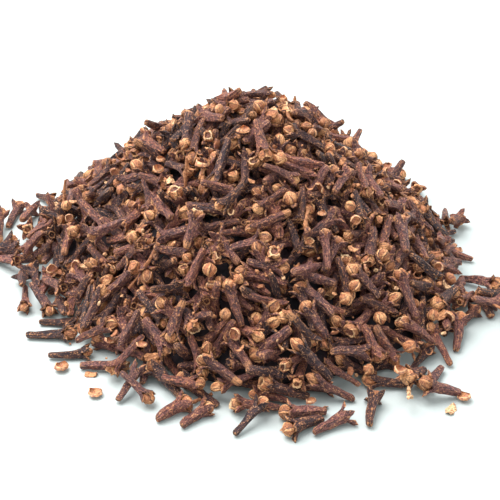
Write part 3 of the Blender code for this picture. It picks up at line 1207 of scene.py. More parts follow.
def plug(tree, target, value):
    """Feeds a socket from another one, or sets it to a plain value."""
    if isinstance(value, bpy.types.NodeSocket):
        tree.links.new(value, target)
    else:
        target.default_value = value


def new_group(label, kind, inputs, outputs):
    """A new node group of a kind, with its inputs and outputs."""
    group = bpy.data.node_groups.new(label, kind)
    for name, socket in inputs:
        group.interface.new_socket(name, in_out="INPUT", socket_type=socket)
    for name, socket in outputs:
        group.interface.new_socket(name, in_out="OUTPUT", socket_type=socket)
    given = add_node(group, "NodeGroupInput", (-900, 0))
    made = add_node(group, "NodeGroupOutput", (800, 0))
    return group, given.outputs, made.inputs


def named_value(tree, label, kind, place):
    """Reads a named value of the points in a geometry tree."""
    node = add_node(tree, "GeometryNodeInputNamedAttribute", place, data_type=kind)
    node.inputs["Name"].default_value = label
    return node.outputs["Attribute"]


def scatter_tree():
    """Nodes that set pieces on points, each with its own turn and size, and make them crooked."""
    label = "Scatter pieces"
    if label in bpy.data.node_groups:
        return bpy.data.node_groups[label]
    tree, given, made = new_group(
        label,
        "GeometryNodeTree",
        [
            ("Points", "NodeSocketGeometry"),
            ("Shapes", "NodeSocketCollection"),
            ("Crookedness", "NodeSocketFloat"),
            ("Crook fineness", "NodeSocketFloat"),
            ("Finish", "NodeSocketMaterial"),
        ],
        [("Pieces", "NodeSocketGeometry")],
    )
    shapes = add_node(tree, "GeometryNodeCollectionInfo", (-650, -120))
    shapes.inputs["Separate Children"].default_value = True
    shapes.inputs["Reset Children"].default_value = True
    plug(tree, shapes.inputs["Collection"], given["Shapes"])
    copies = add_node(tree, "GeometryNodeInstanceOnPoints", (-400, 0))
    copies.inputs["Pick Instance"].default_value = True
    plug(tree, copies.inputs["Points"], given["Points"])
    plug(tree, copies.inputs["Instance"], shapes.outputs["Instances"])
    plug(tree, copies.inputs["Instance Index"], named_value(tree, "shape", "INT", (-650, -320)))
    plug(tree, copies.inputs["Rotation"], named_value(tree, "turn", "QUATERNION", (-650, -480)))
    plug(tree, copies.inputs["Scale"], named_value(tree, "size", "FLOAT_VECTOR", (-650, -640)))
    real = add_node(tree, "GeometryNodeRealizeInstances", (-200, 0))
    plug(tree, real.inputs["Geometry"], copies.outputs["Instances"])
    crooks = add_node(tree, "ShaderNodeTexNoise", (-400, -520))
    crooks.inputs["Detail"].default_value = 1.0
    plug(tree, crooks.inputs["Scale"], given["Crook fineness"])
    centred = add_node(tree, "ShaderNodeVectorMath", (-200, -520), operation="SUBTRACT")
    centred.inputs[1].default_value = (0.5, 0.5, 0.5)
    plug(tree, centred.inputs[0], crooks.outputs["Color"])
    pushed = add_node(tree, "ShaderNodeVectorMath", (-40, -520), operation="SCALE")
    plug(tree, pushed.inputs[0], centred.outputs["Vector"])
    plug(tree, pushed.inputs["Scale"], given["Crookedness"])
    moved = add_node(tree, "GeometryNodeSetPosition", (60, 0))
    plug(tree, moved.inputs["Geometry"], real.outputs["Geometry"])
    plug(tree, moved.inputs["Offset"], pushed.outputs["Vector"])
    painted = add_node(tree, "GeometryNodeSetMaterial", (240, 0))
    plug(tree, painted.inputs["Geometry"], moved.outputs["Geometry"])
    plug(tree, painted.inputs["Material"], given["Finish"])
    plug(tree, made["Pieces"], painted.outputs["Geometry"])
    return tree


def new_piece(name, mesh):
    """An object of a mesh, at the origin and in the scene."""
    made = bpy.data.objects.new(name, mesh)
    bpy.context.scene.collection.objects.link(made)
    return made


def points_object(name, placed):
    """An object of loose points that carry the turn, size, shape and tint of each piece."""
    mesh = bpy.data.meshes.new(name)
    mesh.from_pydata([tuple(item.place) for item in placed], [], [])
    turns = mesh.attributes.new("turn", "QUATERNION", "POINT")
    turns.data.foreach_set("value", np.array([tuple(item.turn) for item in placed]).ravel())
    sizes = mesh.attributes.new("size", "FLOAT_VECTOR", "POINT")
    sizes.data.foreach_set("vector", np.array([item.size for item in placed], dtype=float).ravel())
    shapes = mesh.attributes.new("shape", "INT", "POINT")
    shapes.data.foreach_set("value", [int(item.shape) for item in placed])
    tints = mesh.attributes.new("tint", "FLOAT", "POINT")
    tints.data.foreach_set("value", [float(item.tint) for item in placed])
    return new_piece(name, mesh)


def scatter(name, placed, skins, finish, crookedness):
    """Makes one piece of many: copies of a few skins, each at its own place, as one plain mesh."""
    shapes = bpy.data.collections.new(name + "_shapes")
    bpy.context.scene.collection.children.link(shapes)
    for number, skin in enumerate(skins):
        skin_object(f"{name}_shape_{number:02d}", skin, shapes)
    piece = points_object(name, placed)
    spread = piece.modifiers.new("Scatter", "NODES")
    spread.node_group = scatter_tree()
    given = {
        "Shapes": shapes,
        "Crookedness": crookedness,
        "Crook fineness": CROOK_FINENESS,
        "Finish": finish,
    }
    for label, value in given.items():
        spread[spread.node_group.interface.items_tree[label].identifier] = value
    depsgraph = bpy.context.evaluated_depsgraph_get()
    mesh = bpy.data.meshes.new_from_object(piece.evaluated_get(depsgraph))
    piece.modifiers.clear()
    piece.data = mesh
    for old in list(shapes.objects):
        bpy.data.objects.remove(old)
    bpy.data.collections.remove(shapes)
    finish_mesh(mesh)
    return piece


def finish_mesh(mesh):
    """Keeps a piece's points above the floor, its edges crisp and only what its colours need."""
    spots = np.empty(len(mesh.vertices) * 3)
    mesh.vertices.foreach_get("co", spots)
    spots = spots.reshape(-1, 3)
    spots[:, 2] = np.maximum(spots[:, 2], GROUND_GAP)
    mesh.vertices.foreach_set("co", spots.ravel())
    for label in ("turn", "size", "shape"):
        spare = mesh.attributes.get(label)
        if spare:
            mesh.attributes.remove(spare)
    mesh.set_sharp_from_angle(angle=SHARP_FROM)
    mesh.update()


def colour(values):
    """Three colour values with full opacity."""
    return (values[0], values[1], values[2], 1.0)


def mixed(first, second, share):
    """A colour part of the way from one to another, with full opacity."""
    return colour([a + (b - a) * share for a, b in zip(first, second)])


def darker(values, share):
    """A colour with only a share of its light, with full opacity."""
    return colour([share * value for value in values])


def calc(tree, operation, first, second, place, clamp=False):
    """Adds a sum on two numbers and gives its result."""
    node = add_node(tree, "ShaderNodeMath", place, operation=operation, use_clamp=clamp)
    plug(tree, node.inputs[0], first)
    plug(tree, node.inputs[1], second)
    return node.outputs[0]


def weighted(tree, value, weight, added, place):
    """Adds a sum of a number, times its weight, and another one, and gives its result."""
    node = add_node(tree, "ShaderNodeMath", place, operation="MULTIPLY_ADD")
    plug(tree, node.inputs[0], value)
    plug(tree, node.inputs[1], weight)
    plug(tree, node.inputs[2], added)
    return node.outputs[0]


def blend_colours(tree, share, first, second, place, kind="MIX"):
    """Adds a blend of two colours by a share and gives its result."""
    node = add_node(tree, "ShaderNodeMix", place, data_type="RGBA", blend_type=kind)
    plug(tree, node.inputs["Factor"], share)
    plug(tree, node.inputs[6], first)
    plug(tree, node.inputs[7], second)
    return node.outputs[2]


def remap(tree, value, low, high, place, to=(0.0, 1.0)):
    """Adds a smooth step of a number from one range to another and gives its result."""
    node = add_node(tree, "ShaderNodeMapRange", place, interpolation_type="SMOOTHSTEP")
    plug(tree, node.inputs["Value"], value)
    node.inputs["From Min"].default_value = low
    node.inputs["From Max"].default_value = high
    node.inputs["To Min"].default_value = to[0]
    node.inputs["To Max"].default_value = to[1]
    return node.outputs["Result"]


def noise_at(tree, spot, scale, detail, place):
    """Adds a noise of a given scale at a spot and gives its value."""
    node = add_node(tree, "ShaderNodeTexNoise", place)
    plug(tree, node.inputs["Vector"], spot)
    plug(tree, node.inputs["Scale"], scale)
    node.inputs["Detail"].default_value = detail
    return node.outputs["Fac"]


def other_tint(tree, tint, times, place):
    """Another random value of each piece, made from its tint."""
    larger = calc(tree, "MULTIPLY", tint, times, place)
    return calc(tree, "FRACT", larger, 0.0, (place[0] + 160, place[1]))


def carried(tree, label, place):
    """Reads a number that the piece's own points carry."""
    return add_node(tree, "ShaderNodeAttribute", place, attribute_name=label).outputs["Fac"]


def own_grain(tree, place):
    """Reads where each point lies on its own unbent piece."""
    return add_node(tree, "ShaderNodeAttribute", place, attribute_name="grain").outputs["Vector"]


def object_spot(tree, place):
    """Reads the place of each point in the object's own coordinates."""
    return add_node(tree, "ShaderNodeTexCoord", place).outputs["Object"]


def use_group(tree, group, place, **values):
    """Places a node group in a material and feeds its inputs."""
    node = add_node(tree, "ShaderNodeGroup", place, node_tree=group)
    for label, value in values.items():
        plug(tree, node.inputs[label], value)
    return node.outputs


def wrinkle_group():
    """Dry wrinkles that run along a piece, with pits between them. Their hollow mask is used to
    paint shade into the wrinkles.
    """
    label = "Dry wrinkles"
    if label in bpy.data.node_groups:
        return bpy.data.node_groups[label]
    group, given, made = new_group(
        label,
        "ShaderNodeTree",
        [("Grain", "NodeSocketVector"), ("Fineness", "NodeSocketFloat")],
        [(name, "NodeSocketFloat") for name in ("Height", "Shaded hollow", "Ridge")],
    )
    drawn_out = add_node(group, "ShaderNodeVectorMath", (-700, 100), operation="MULTIPLY")
    plug(group, drawn_out.inputs[0], given["Grain"])
    drawn_out.inputs[1].default_value = (1.0, 1.0, 0.40)
    folds = noise_at(group, drawn_out.outputs[0], given["Fineness"], 2.0, (-500, 150))
    finer = calc(group, "MULTIPLY", given["Fineness"], 1.5, (-700, -150))
    pits = noise_at(group, given["Grain"], finer, 2.0, (-500, -120))
    deep = calc(group, "MULTIPLY", folds, 0.50, (-250, 150))
    shallow = calc(group, "MULTIPLY", pits, 0.50, (-250, -100))
    height = calc(group, "ADD", deep, shallow, (-50, 50))
    plug(group, made["Height"], height)
    plug(group, made["Shaded hollow"], remap(group, height, 0.50, 0.42, (200, -60)))
    plug(group, made["Ridge"], remap(group, height, 0.52, 0.60, (200, -260)))
    return group


def seam_group():
    """The seams between the four petals that lap over each other round a bud. The first mask is a
    dark line along each seam, painted shade where one petal laps over the next; the second is a
    pale band just before it, partly the petal's own pale edge and partly a painted highlight on its
    raised edge.
    """
    label = "Petal seams"
    if label in bpy.data.node_groups:
        return bpy.data.node_groups[label]
    group, given, made = new_group(
        label,
        "ShaderNodeTree",
        [("Grain", "NodeSocketVector"), ("Twist", "NodeSocketFloat")],
        [("Seam", "NodeSocketFloat"), ("Pale edge and highlight", "NodeSocketFloat")],
    )
    parts = add_node(group, "ShaderNodeSeparateXYZ", (-700, 0))
    plug(group, parts.inputs[0], given["Grain"])
    around = calc(group, "ARCTAN2", parts.outputs[1], parts.outputs[0], (-500, 100))
    above = calc(group, "SUBTRACT", parts.outputs[2], CALYX_SHARE * CLOVE_LENGTH, (-500, -100))
    twisted = calc(group, "MULTIPLY", above, given["Twist"], (-330, -100))
    turned = calc(group, "SUBTRACT", around, twisted, (-180, 40))
    waver = noise_at(group, given["Grain"], 900.0, 2.0, (-500, -300))
    centred = calc(group, "SUBTRACT", waver, 0.5, (-330, -250))
    ragged = calc(group, "MULTIPLY", centred, 0.5, (-180, -200))
    wavering = calc(group, "ADD", turned, ragged, (-30, 40))
    quarter = calc(group, "DIVIDE", wavering, 2 * math.pi / PETALS, (120, 40))
    across = calc(group, "FRACT", quarter, 0.0, (260, 40))
    # The band after the seam is painted shade under the lapping petal; the crest before it is a
    # pale edge and painted highlight
    after = remap(group, across, 0.14, 0.02, (420, 200))
    before = remap(group, across, 0.92, 0.98, (420, 0))
    crest = remap(group, across, 0.66, 0.82, (420, -200))
    plug(group, made["Seam"], calc(group, "MAXIMUM", after, before, (600, 100)))
    plug(group, made["Pale edge and highlight"], calc(group, "SUBTRACT", crest, before, (600, -100), clamp=True))
    return group


def new_material(label):
    """A new material's node tree, its surface shader and the material itself."""
    material = bpy.data.materials.new(label)
    material.use_nodes = True
    tree = material.node_tree
    return material, tree, tree.nodes["Principled BSDF"]


def add_relief(tree, shader, height, depth, place, strength=1.0):
    """Gives a surface a low relief of so many metres."""
    bump = add_node(tree, "ShaderNodeBump", place)
    plug(tree, bump.inputs["Strength"], strength)
    bump.inputs["Distance"].default_value = depth
    plug(tree, bump.inputs["Height"], height)
    plug(tree, shader.inputs["Normal"], bump.outputs["Normal"])


def clove_finish(finish):
    """Wrinkled brown stems, tan buds with seams, and pale edges on the teeth and the cut tails.
    Painted shade darkens the wrinkles' hollows and the seams, and painted highlight pales the
    ridges, the petal edges and some patches of the buds.
    """
    label = "Dried clove"
    if label in bpy.data.materials:
        return bpy.data.materials[label]
    material, tree, shader = new_material(label)
    grain = own_grain(tree, (-1700, 0))
    tint = carried(tree, "tint", (-1700, 300))
    bud = carried(tree, "bud", (-1700, 500))
    rim = carried(tree, "rim", (-1700, 700))
    spot = object_spot(tree, (-1700, -300))
    wrinkles = use_group(
        tree, wrinkle_group(), (-1400, 0), Grain=grain, Fineness=CLOVE_FINENESS
    )
    seams = use_group(tree, seam_group(), (-1400, -200), Grain=grain, Twist=PETAL_TWIST)
    patches = noise_at(tree, spot, 260.0, 2.0, (-1400, -400))
    flecks = noise_at(tree, spot, 1250.0, 2.0, (-1400, -600))
    edge_tone = other_tint(tree, tint, 13.7, (-1400, 600))
    stem = stem_colour(tree, finish, tint, patches, flecks, wrinkles["Ridge"])
    head = petal_colour(tree, finish, tint, patches, edge_tone, seams)
    head = head_wear_highlight_and_stains(tree, finish, head, flecks, wrinkles["Ridge"])
    skin = blend_colours(tree, bud, stem, head, (-50, 200))
    pale = paleness(tree, grain, rim, edge_tone, flecks)
    torn = blend_colours(tree, edge_tone, colour(finish.rim), colour(finish.crumb), (-250, -500))
    light = blend_colours(tree, bud, mixed(finish.bud, finish.rim, 0.45), torn, (-50, -500))
    skin = blend_colours(tree, pale, skin, light, (150, 200))
    # Painted shade: the wrinkles' hollows are darkened towards the near-black depth colour, more on
    # the stems than on the buds
    hollow_shade_strength = remap(tree, bud, 0.0, 1.0, (-250, 0), to=(0.74, 0.46))
    shade = calc(tree, "MULTIPLY", wrinkles["Shaded hollow"], hollow_shade_strength, (-50, -100))
    skin = blend_colours(tree, shade, skin, colour(finish.depths), (350, 200))
    plug(tree, shader.inputs["Base Color"], skin)
    rough = remap(tree, flecks, 0.2, 0.8, (350, 0), to=(0.42, 0.64))
    plug(tree, shader.inputs["Roughness"], rough)
    shader.inputs["Specular IOR Level"].default_value = 0.36
    relief = remap(tree, bud, 0.0, 1.0, (150, -350), to=(1.0, 0.55))
    add_relief(tree, shader, wrinkles["Height"], 0.0023, (350, -250), relief)
    return material


def stem_colour(tree, finish, tint, patches, flecks, ridge):
    """The brown of a stem, darker or lighter by its tint and in patches, and paler on its ridges,
    partly as wear and partly as a painted highlight.
    """
    patched = calc(tree, "MULTIPLY", patches, 0.50, (-1300, 200))
    uneven = weighted(tree, tint, 0.62, patched, (-1150, 300))
    share = remap(tree, uneven, 0.16, 0.95, (-1000, 300))
    dark = colour(finish.stem_dark)
    stem = blend_colours(tree, share, dark, colour(finish.stem_light), (-800, 300))
    # Painted highlight and wear: the ridges of the wrinkles are paler, in flecks
    ridge_wear_and_highlight_colour = mixed(finish.stem_light, finish.rim, 0.6)
    flecked = remap(tree, flecks, 0.40, 0.58, (-1000, -500), to=(0.20, 1.0))
    ridge_wear_and_highlight = calc(tree, "MULTIPLY", ridge, flecked, (-800, 100))
    stem = blend_colours(tree, ridge_wear_and_highlight, stem, ridge_wear_and_highlight_colour, (-600, 300))
    tone = other_tint(tree, tint, 23.9, (-1300, 700))
    hue = weighted(tree, tone, 0.6, patches, (-800, 700))
    warm = remap(tree, hue, 0.72, 1.08, (-650, 700), to=(0.0, 0.55))
    cool = remap(tree, hue, 0.66, 0.42, (-650, 850), to=(0.0, 0.32))
    stem = blend_colours(tree, warm, stem, colour(WARM_TINT), (-500, 500), "MULTIPLY")
    return blend_colours(tree, cool, stem, colour(COOL_TINT), (-350, 500), "MULTIPLY")


def petal_colour(tree, finish, tint, patches, edge_tone, seams):
    """The tan of a bud, some as brown as the stems, with dark seams of painted shade under each
    lapping petal, pale petal edges that are partly painted highlight, and random paler patches
    painted as patches of light.
    """
    head_tone = other_tint(tree, tint, 7.31, (-1400, 450))
    patched = calc(tree, "MULTIPLY", patches, 0.5, (-1300, -50))
    warm = weighted(tree, head_tone, 0.9, patched, (-1150, 0))
    share = remap(tree, warm, 0.22, 1.0, (-1000, 0))
    brown = darker(finish.bud, 0.62)
    head = blend_colours(tree, share, brown, colour(finish.bud), (-800, 0))
    # Painted light: random patches of the buds are paler, like patches of light
    spots = remap(tree, patches, 0.50, 0.57, (-1000, 150), to=(0.0, 0.72))
    sunny = calc(tree, "MULTIPLY", share, spots, (-800, 150))
    head = blend_colours(tree, sunny, head, colour(finish.rim), (-700, 0))
    # Painted highlight: the pale band before each seam, partly the petal's own pale edge
    lit = remap(tree, edge_tone, 0.1, 0.8, (-1000, -250), to=(0.4, 1.0))
    edge = calc(tree, "MULTIPLY", seams["Pale edge and highlight"], lit, (-800, -250))
    head = blend_colours(tree, edge, head, colour(finish.rim), (-600, 0))
    # Painted shade: a dark line along each seam, under the lapping petal
    seam = calc(tree, "MULTIPLY", seams["Seam"], 0.78, (-600, -250))
    return blend_colours(tree, seam, head, colour(finish.stem_dark), (-400, 0))


def head_wear_highlight_and_stains(tree, finish, head, flecks, ridge):
    """A bud's colour, paler on its ridges, partly as wear and partly as a painted highlight, and
    stained in flecks.
    """
    # Painted highlight and wear: the ridges of the bud are paler
    ridge_highlight_and_wear = calc(tree, "MULTIPLY", ridge, 0.30, (-350, 350))
    head = blend_colours(tree, ridge_highlight_and_wear, head, colour(finish.rim), (-200, 350))
    stained = remap(tree, flecks, 0.48, 0.38, (-350, 500), to=(0.0, 0.5))
    return blend_colours(tree, stained, head, darker(finish.bud, 0.5), (-200, 500))


def paleness(tree, grain, rim, edge_tone, flecks):
    """How pale a clove's skin is: at its frayed edges, and on a few whole tails."""
    fray = remap(tree, flecks, 0.30, 0.60, (-650, -500), to=(0.85, 1.1))
    edges = calc(tree, "MULTIPLY", rim, fray, (-450, -400))
    parts = add_node(tree, "ShaderNodeSeparateXYZ", (-1400, -800))
    plug(tree, parts.inputs[0], grain)
    tail = remap(tree, parts.outputs[2], 0.0034, 0.0020, (-1150, -800))
    few = remap(tree, edge_tone, 0.90, 0.96, (-1150, -950))
    broken = calc(tree, "MULTIPLY", tail, few, (-900, -800))
    tails = calc(tree, "MULTIPLY", broken, 0.74, (-700, -800))
    frayed = calc(tree, "MAXIMUM", edges, tails, (-250, -400))
    return remap(tree, frayed, 0.44, 0.82, (-50, -300), to=(0.0, 0.95))


def petal_finish(finish):
    """Thin dry petals: orange tan, veined, paler at their edges, with painted shade along their
    seams and in the hollows of their wrinkles.
    """
    material, tree, shader = new_material("Dry petal")
    grain = own_grain(tree, (-1300, 0))
    tint = carried(tree, "tint", (-1300, 300))
    rim = carried(tree, "rim", (-1300, 500))
    wrinkles = use_group(
        tree, wrinkle_group(), (-1000, 0), Grain=grain, Fineness=PETAL_FINENESS
    )
    seams = use_group(tree, seam_group(), (-1000, -200), Grain=grain, Twist=CAP_TWIST)
    share = remap(tree, tint, 0.0, 1.0, (-1000, 300))
    tan = mixed(finish.bud, finish.rim, 0.5)
    flesh = blend_colours(tree, share, darker(finish.bud, 0.80), tan, (-700, 300))
    pale = remap(tree, rim, 0.78, 1.0, (-700, 500), to=(0.0, 0.8))
    flesh = blend_colours(tree, pale, flesh, mixed(finish.rim, finish.crumb, 0.5), (-500, 300))
    # Painted shade along the seams of the cap, and in its wrinkles' hollows
    seam = calc(tree, "MULTIPLY", seams["Seam"], 0.5, (-700, -200))
    flesh = blend_colours(tree, seam, flesh, colour(finish.stem_light), (-300, 300))
    shade = calc(tree, "MULTIPLY", wrinkles["Shaded hollow"], 0.75, (-500, 0))
    flesh = blend_colours(tree, shade, flesh, colour(finish.stem_light), (-100, 300))
    plug(tree, shader.inputs["Base Color"], flesh)
    shader.inputs["Roughness"].default_value = 0.58
    add_relief(tree, shader, wrinkles["Height"], 0.0010, (-100, -200))
    return material


def crumb_finish(finish):
    """Stalks, flakes and crumbs, from brown to cream, each with its own tint, with painted shade in
    the low parts of their relief.
    """
    label = "Clove crumb"
    if label in bpy.data.materials:
        return bpy.data.materials[label]
    material, tree, shader = new_material(label)
    tint = carried(tree, "tint", (-1100, 300))
    crumb_relief_and_shade = noise_at(tree, object_spot(tree, (-1100, 0)), 1200.0, 3.0, (-900, 0))
    share = remap(tree, tint, 0.0, 0.70, (-900, 500))
    tan = mixed(finish.bud, finish.rim, 0.45)
    flesh = blend_colours(tree, share, darker(finish.bud, 0.72), tan, (-600, 400))
    pale = remap(tree, tint, 0.70, 1.0, (-900, 250))
    flesh = blend_colours(tree, pale, flesh, mixed(finish.rim, finish.crumb, 0.6), (-400, 300))
    # Painted shade: the low parts of the relief are darkened
    shade = remap(tree, crumb_relief_and_shade, 0.54, 0.42, (-600, 0), to=(0.0, 0.75))
    flesh = blend_colours(tree, shade, flesh, darker(finish.bud, 0.5), (-200, 300))
    plug(tree, shader.inputs["Base Color"], flesh)
    shader.inputs["Roughness"].default_value = 0.7
    add_relief(tree, shader, crumb_relief_and_shade, 0.0011, (-200, -100))
    return material


def depths_finish(finish):
    """The near-black of the core, painted shade that stands for the cloves that lie deep in the
    heap, somewhat lighter on its lumps.
    """
    material, tree, shader = new_material("Depths of the heap")
    lumps = noise_at(tree, object_spot(tree, (-900, 0)), 330.0, 3.0, (-700, 0))
    # Painted shade: the core is near black in its low parts and dark brown on its lumps
    shade = remap(tree, lumps, 0.35, 0.68, (-450, 100))
    dim = blend_colours(tree, shade, colour(finish.depths), colour(finish.stem_dark), (-250, 100))
    plug(tree, shader.inputs["Base Color"], dim)
    shader.inputs["Roughness"].default_value = 0.8
    add_relief(tree, shader, lumps, 0.0012, (-250, -150))
    return material


def floor_finish(stage):
    """A plain pale floor with the faintest unevenness."""
    material, tree, shader = new_material("Pale floor")
    cloudy = noise_at(tree, object_spot(tree, (-900, 0)), 6.0, 2.0, (-700, 0))
    plain = colour(stage.floor)
    shaded = blend_colours(tree, cloudy, plain, darker(stage.floor, 0.97), (-400, 100))
    plug(tree, shader.inputs["Base Color"], shaded)
    shader.inputs["Roughness"].default_value = 0.55
    return material


def add_depths(sizes, finish):
    """The lumpy dark core that the cloves lie on, closed below; its near-black colour is painted
    shade for the deep gaps.
    """
    angles = np.arange(DEPTH_SECTORS) * 2 * math.pi / DEPTH_SECTORS
    points = []
    rings = []
    for step in range(1, DEPTH_RINGS + 1):
        share = step / DEPTH_RINGS * DEPTH_REACH
        ring = []
        for angle in angles:
            reach = share * float(foot_radius(sizes, np.array(angle)))
            x = SUMMIT_OFFSET[0] + reach * math.cos(angle)
            y = SUMMIT_OFFSET[1] + reach * math.sin(angle)
            lump = noise.noise(Vector((x, y, 0)) / DEPTH_LUMP) * DEPTH_LUMP_HEIGHT
            height = float(envelope(sizes, np.array(x), np.array(y))) - DEPTH_BELOW + lump
            ring.append(len(points))
            points.append((x, y, max(height, DEPTH_THINNEST)))
        rings.append(ring)
    summit = len(points)
    points.append((*SUMMIT_OFFSET, sizes.height - DEPTH_BELOW))
    hem = rings[-1]
    sole = []
    for number in hem:
        sole.append(len(points))
        points.append((points[number][0], points[number][1], GROUND_GAP))
    under = len(points)
    points.append((*SUMMIT_OFFSET, GROUND_GAP))
    faces = []
    for k in range(DEPTH_SECTORS):
        after = (k + 1) % DEPTH_SECTORS
        faces.append((rings[0][k], rings[0][after], summit))
        for inner, outer in zip(rings, rings[1:]):
            faces.append((inner[k], outer[k], outer[after], inner[after]))
        faces.append((hem[k], sole[k], sole[after], hem[after]))
        faces.append((sole[k], under, sole[after]))
    mesh = bpy.data.meshes.new("heap_depths")
    mesh.from_pydata(points, [], faces)
    mesh.shade_smooth()
    mesh.set_sharp_from_angle(angle=SHARP_FROM)
    mesh.materials.append(depths_finish(finish))
    return new_piece("heap_depths", mesh)


def belongs(piece):
    """Makes a piece part of the heap's body and hides the heap's imported solid."""
    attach(piece, "root")
    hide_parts("clove_heap")


class ClovesStep(bpy.types.Operator):
    """What every step shares: the settings it reads and how it lays its pieces."""

    bl_options = {"REGISTER", "UNDO"}

    @property
    def heap(self):
        """The heap's settings."""
        return bpy.context.scene.cloves_heap

    @property
    def finish(self):
        """The finish's settings."""
        return bpy.context.scene.cloves_finish

    def lay_cloves(self, name, sort, shapes, seed):
        """Makes one piece of all the poured cloves of a sort."""
        placed = placed_cloves(sorted_cloves(pour_sizes(self.heap)), sort, shapes, seed)
        skins = [clove_skin(shape) for shape in shapes]
        belongs(scatter(name, placed, skins, clove_finish(self.finish), self.heap.wobble))

    def lay_loose(self, name, kind, skins, material, crookedness=1.0):
        """Makes one piece of all the loose pieces of a kind."""
        heap = self.heap
        placed = strewn(pour_sizes(heap), heap.loose_heads, heap.petals, heap.crumbs)[kind]
        belongs(scatter(name, placed, skins, material, crookedness * heap.wobble))


class CLOVES_OT_depths(ClovesStep):
    """Make the dark core that shows deep between the cloves, coloured near black as painted shade
    """

    bl_idname = "cloves.depths"
    bl_label = "Depths of the heap"

    def execute(self, context):
        """Makes the core."""
        belongs(add_depths(pour_sizes(self.heap), self.finish))
        return {"FINISHED"}


class CLOVES_OT_full(ClovesStep):
    """Lay the cloves with a round bud between spread teeth"""

    bl_idname = "cloves.full"
    bl_label = "Full cloves"

    def execute(self, context):
        """Lays the full cloves."""
        self.lay_cloves("full_cloves", "full", FULL_SHAPES, seed=11)
        return {"FINISHED"}


class CLOVES_OT_slim(ClovesStep):
    """Lay the cloves with a narrow bud between closed teeth"""

    bl_idname = "cloves.slim"
    bl_label = "Slim cloves"

    def execute(self, context):
        """Lays the slim cloves."""
        self.lay_cloves("slim_cloves", "slim", SLIM_SHAPES, seed=12)
        return {"FINISHED"}


class CLOVES_OT_torn(ClovesStep):
    """Lay the cloves whose bud is torn open at the top, with a pale ragged rim"""

    bl_idname = "cloves.torn"
    bl_label = "Torn cloves"

    def execute(self, context):
        """Lays the torn cloves."""
        self.lay_cloves("torn_cloves", "torn", TORN_SHAPES, seed=14)
        return {"FINISHED"}


class CLOVES_OT_open(ClovesStep):
    """Lay the cloves that have lost their bud and show a square rim between their teeth"""

    bl_idname = "cloves.open"
    bl_label = "Open cloves"

    def execute(self, context):
        """Lays the open cloves."""
        self.lay_cloves("open_cloves", "open", OPEN_SHAPES, seed=13)
        return {"FINISHED"}


class CLOVES_OT_heads(ClovesStep):
    """Lay the round heads that have come off their stems"""

    bl_idname = "cloves.heads"
    bl_label = "Loose heads"

    def execute(self, context):
        """Lays the loose heads."""
        skins = [head_skin(shape) for shape in HEAD_SHAPES]
        self.lay_loose("loose_heads", "heads", skins, clove_finish(self.finish), 0.5)
        return {"FINISHED"}


class CLOVES_OT_petals(ClovesStep):
    """Lay the hollow caps of petals that have come off the buds"""

    bl_idname = "cloves.petals"
    bl_label = "Petal caps"

    def execute(self, context):
        """Lays the petal caps."""
        skins = [cap_skin(deep) for deep in CAP_DEPTHS]
        self.lay_loose("petal_caps", "caps", skins, petal_finish(self.finish))
        return {"FINISHED"}


class CLOVES_OT_stalks(ClovesStep):
    """Lay the thin dry stalks"""

    bl_idname = "cloves.stalks"
    bl_label = "Stalks"

    def execute(self, context):
        """Lays the stalks."""
        skins = [stalk_skin(*sizes) for sizes in STALK_SIZES]
        self.lay_loose("stalks", "stalks", skins, crumb_finish(self.finish))
        return {"FINISHED"}


class CLOVES_OT_flakes(ClovesStep):
    """Lay the curled flakes of petal and skin"""

    bl_idname = "cloves.flakes"
    bl_label = "Flakes"

    def execute(self, context):
        """Lays the flakes."""
        skins = [flake_skin(*sizes, seed) for seed, sizes in enumerate(FLAKE_SIZES)]
        self.lay_loose("flakes", "flakes", skins, crumb_finish(self.finish))
        return {"FINISHED"}


class CLOVES_OT_crumbs(ClovesStep):
    """Strew the small broken crumbs"""

    bl_idname = "cloves.crumbs"
    bl_label = "Crumbs"

    def execute(self, context):
        """Strews the crumbs."""
        skins = [chip_skin(seed) for seed in range(CHIP_SHAPES)]
        self.lay_loose("crumbs", "chips", skins, crumb_finish(self.finish), 0.5)
        return {"FINISHED"}


def add_floor(stage):
    """The floor, a wide flat square."""
    corners = [(-1, -1), (1, -1), (1, 1), (-1, 1)]
    mesh = bpy.data.meshes.new("floor")
    mesh.from_pydata([(x * FLOOR_HALF, y * FLOOR_HALF, 0) for x, y in corners], [], [(0, 1, 2, 3)])
    mesh.materials.append(floor_finish(stage))
    return new_piece("floor", mesh)


def add_key_light(stage):
    """The large soft square light, high on the left and behind, turned to the heap."""
    light = bpy.data.lights.new("key_light", "AREA")
    light.energy = stage.key_power
    light.size = KEY_SIZE
    light.color = KEY_TINT
    made = bpy.data.objects.new("key_light", light)
    made.location = KEY_PLACE
    towards = Vector(KEY_AIM) - Vector(KEY_PLACE)
    made.rotation_euler = towards.to_track_quat("-Z", "Y").to_euler()
    bpy.context.scene.collection.objects.link(made)


def add_sky(stage):
    """The even light from all sides."""
    world = bpy.data.worlds.new("soft_sky")
    world.use_nodes = True
    sky = world.node_tree.nodes["Background"]
    sky.inputs["Color"].default_value = colour(SKY_TINT)
    sky.inputs["Strength"].default_value = stage.sky_strength
    bpy.context.scene.world = world


def add_camera(stage):
    """The camera, on the side of -Y and looking down at the middle of the heap's foot."""
    camera = bpy.data.cameras.new("camera")
    camera.sensor_width = SENSOR_WIDTH
    camera.lens = stage.lens
    made = bpy.data.objects.new("camera", camera)
    away, up = math.cos(stage.elevation), math.sin(stage.elevation)
    made.location = (0, -stage.distance * away, stage.distance * up)
    pixels_of_focus = stage.lens / SENSOR_WIDTH * PICTURE_SIZE
    raised = math.atan((stage.foot_row - PICTURE_SIZE / 2) / pixels_of_focus)
    made.rotation_euler = (math.radians(90) - stage.elevation + raised, 0, 0)
    bpy.context.scene.collection.objects.link(made)
    bpy.context.scene.camera = made


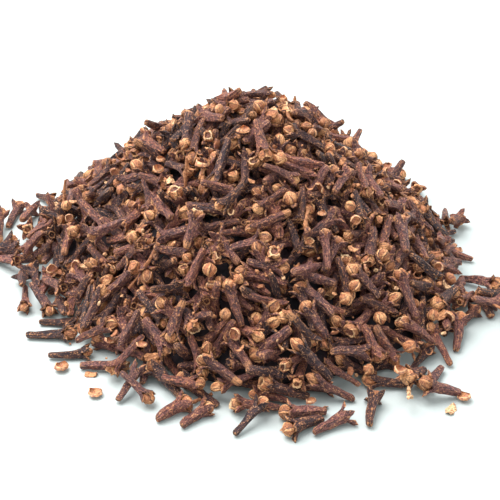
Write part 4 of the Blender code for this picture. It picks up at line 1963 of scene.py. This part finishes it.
class CLOVES_OT_stage(ClovesStep):
    """Make the floor, the light and the camera"""

    bl_idname = "cloves.stage"
    bl_label = "Floor, light and camera"

    def execute(self, context):
        """Makes the stage."""
        stage = bpy.context.scene.cloves_stage
        add_floor(stage)
        add_sky(stage)
        add_key_light(stage)
        add_camera(stage)
        bpy.context.scene.view_settings.view_transform = "Standard"
        return {"FINISHED"}


STEPS = (
    CLOVES_OT_depths,
    CLOVES_OT_full,
    CLOVES_OT_slim,
    CLOVES_OT_torn,
    CLOVES_OT_open,
    CLOVES_OT_heads,
    CLOVES_OT_petals,
    CLOVES_OT_stalks,
    CLOVES_OT_flakes,
    CLOVES_OT_crumbs,
    CLOVES_OT_stage,
)
SETTINGS = (
    ("cloves_heap", HeapSettings),
    ("cloves_finish", FinishSettings),
    ("cloves_stage", StageSettings),
)


class CLOVES_PT_heap(bpy.types.Panel):
    """Lists the settings and the steps in the sidebar."""

    bl_idname = "CLOVES_PT_heap"
    bl_label = "Heap of whole cloves"
    bl_space_type = "VIEW_3D"
    bl_region_type = "UI"
    bl_category = "Cloves"

    def draw(self, context):
        """Draws the settings, then a button for each step."""
        for label, kind in SETTINGS:
            box = self.layout.box()
            for name in kind.__annotations__:
                box.prop(getattr(context.scene, label), name)
        for step in STEPS:
            self.layout.operator(step.bl_idname)


def register():
    """Registers the settings, the steps and the panel."""
    for label, kind in SETTINGS:
        bpy.utils.register_class(kind)
        setattr(bpy.types.Scene, label, bpy.props.PointerProperty(type=kind))
    for step in STEPS:
        bpy.utils.register_class(step)
    bpy.utils.register_class(CLOVES_PT_heap)


def unregister():
    """Takes the panel, the steps and the settings away again."""
    bpy.utils.unregister_class(CLOVES_PT_heap)
    for step in reversed(STEPS):
        bpy.utils.unregister_class(step)
    for label, kind in reversed(SETTINGS):
        delattr(bpy.types.Scene, label)
        bpy.utils.unregister_class(kind)


def main():
    """Makes the whole scene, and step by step."""
    register()
    for step in STEPS:
        group, name = step.bl_idname.split(".")
        getattr(getattr(bpy.ops, group), name)()


if __name__ == "__main__":
    main()
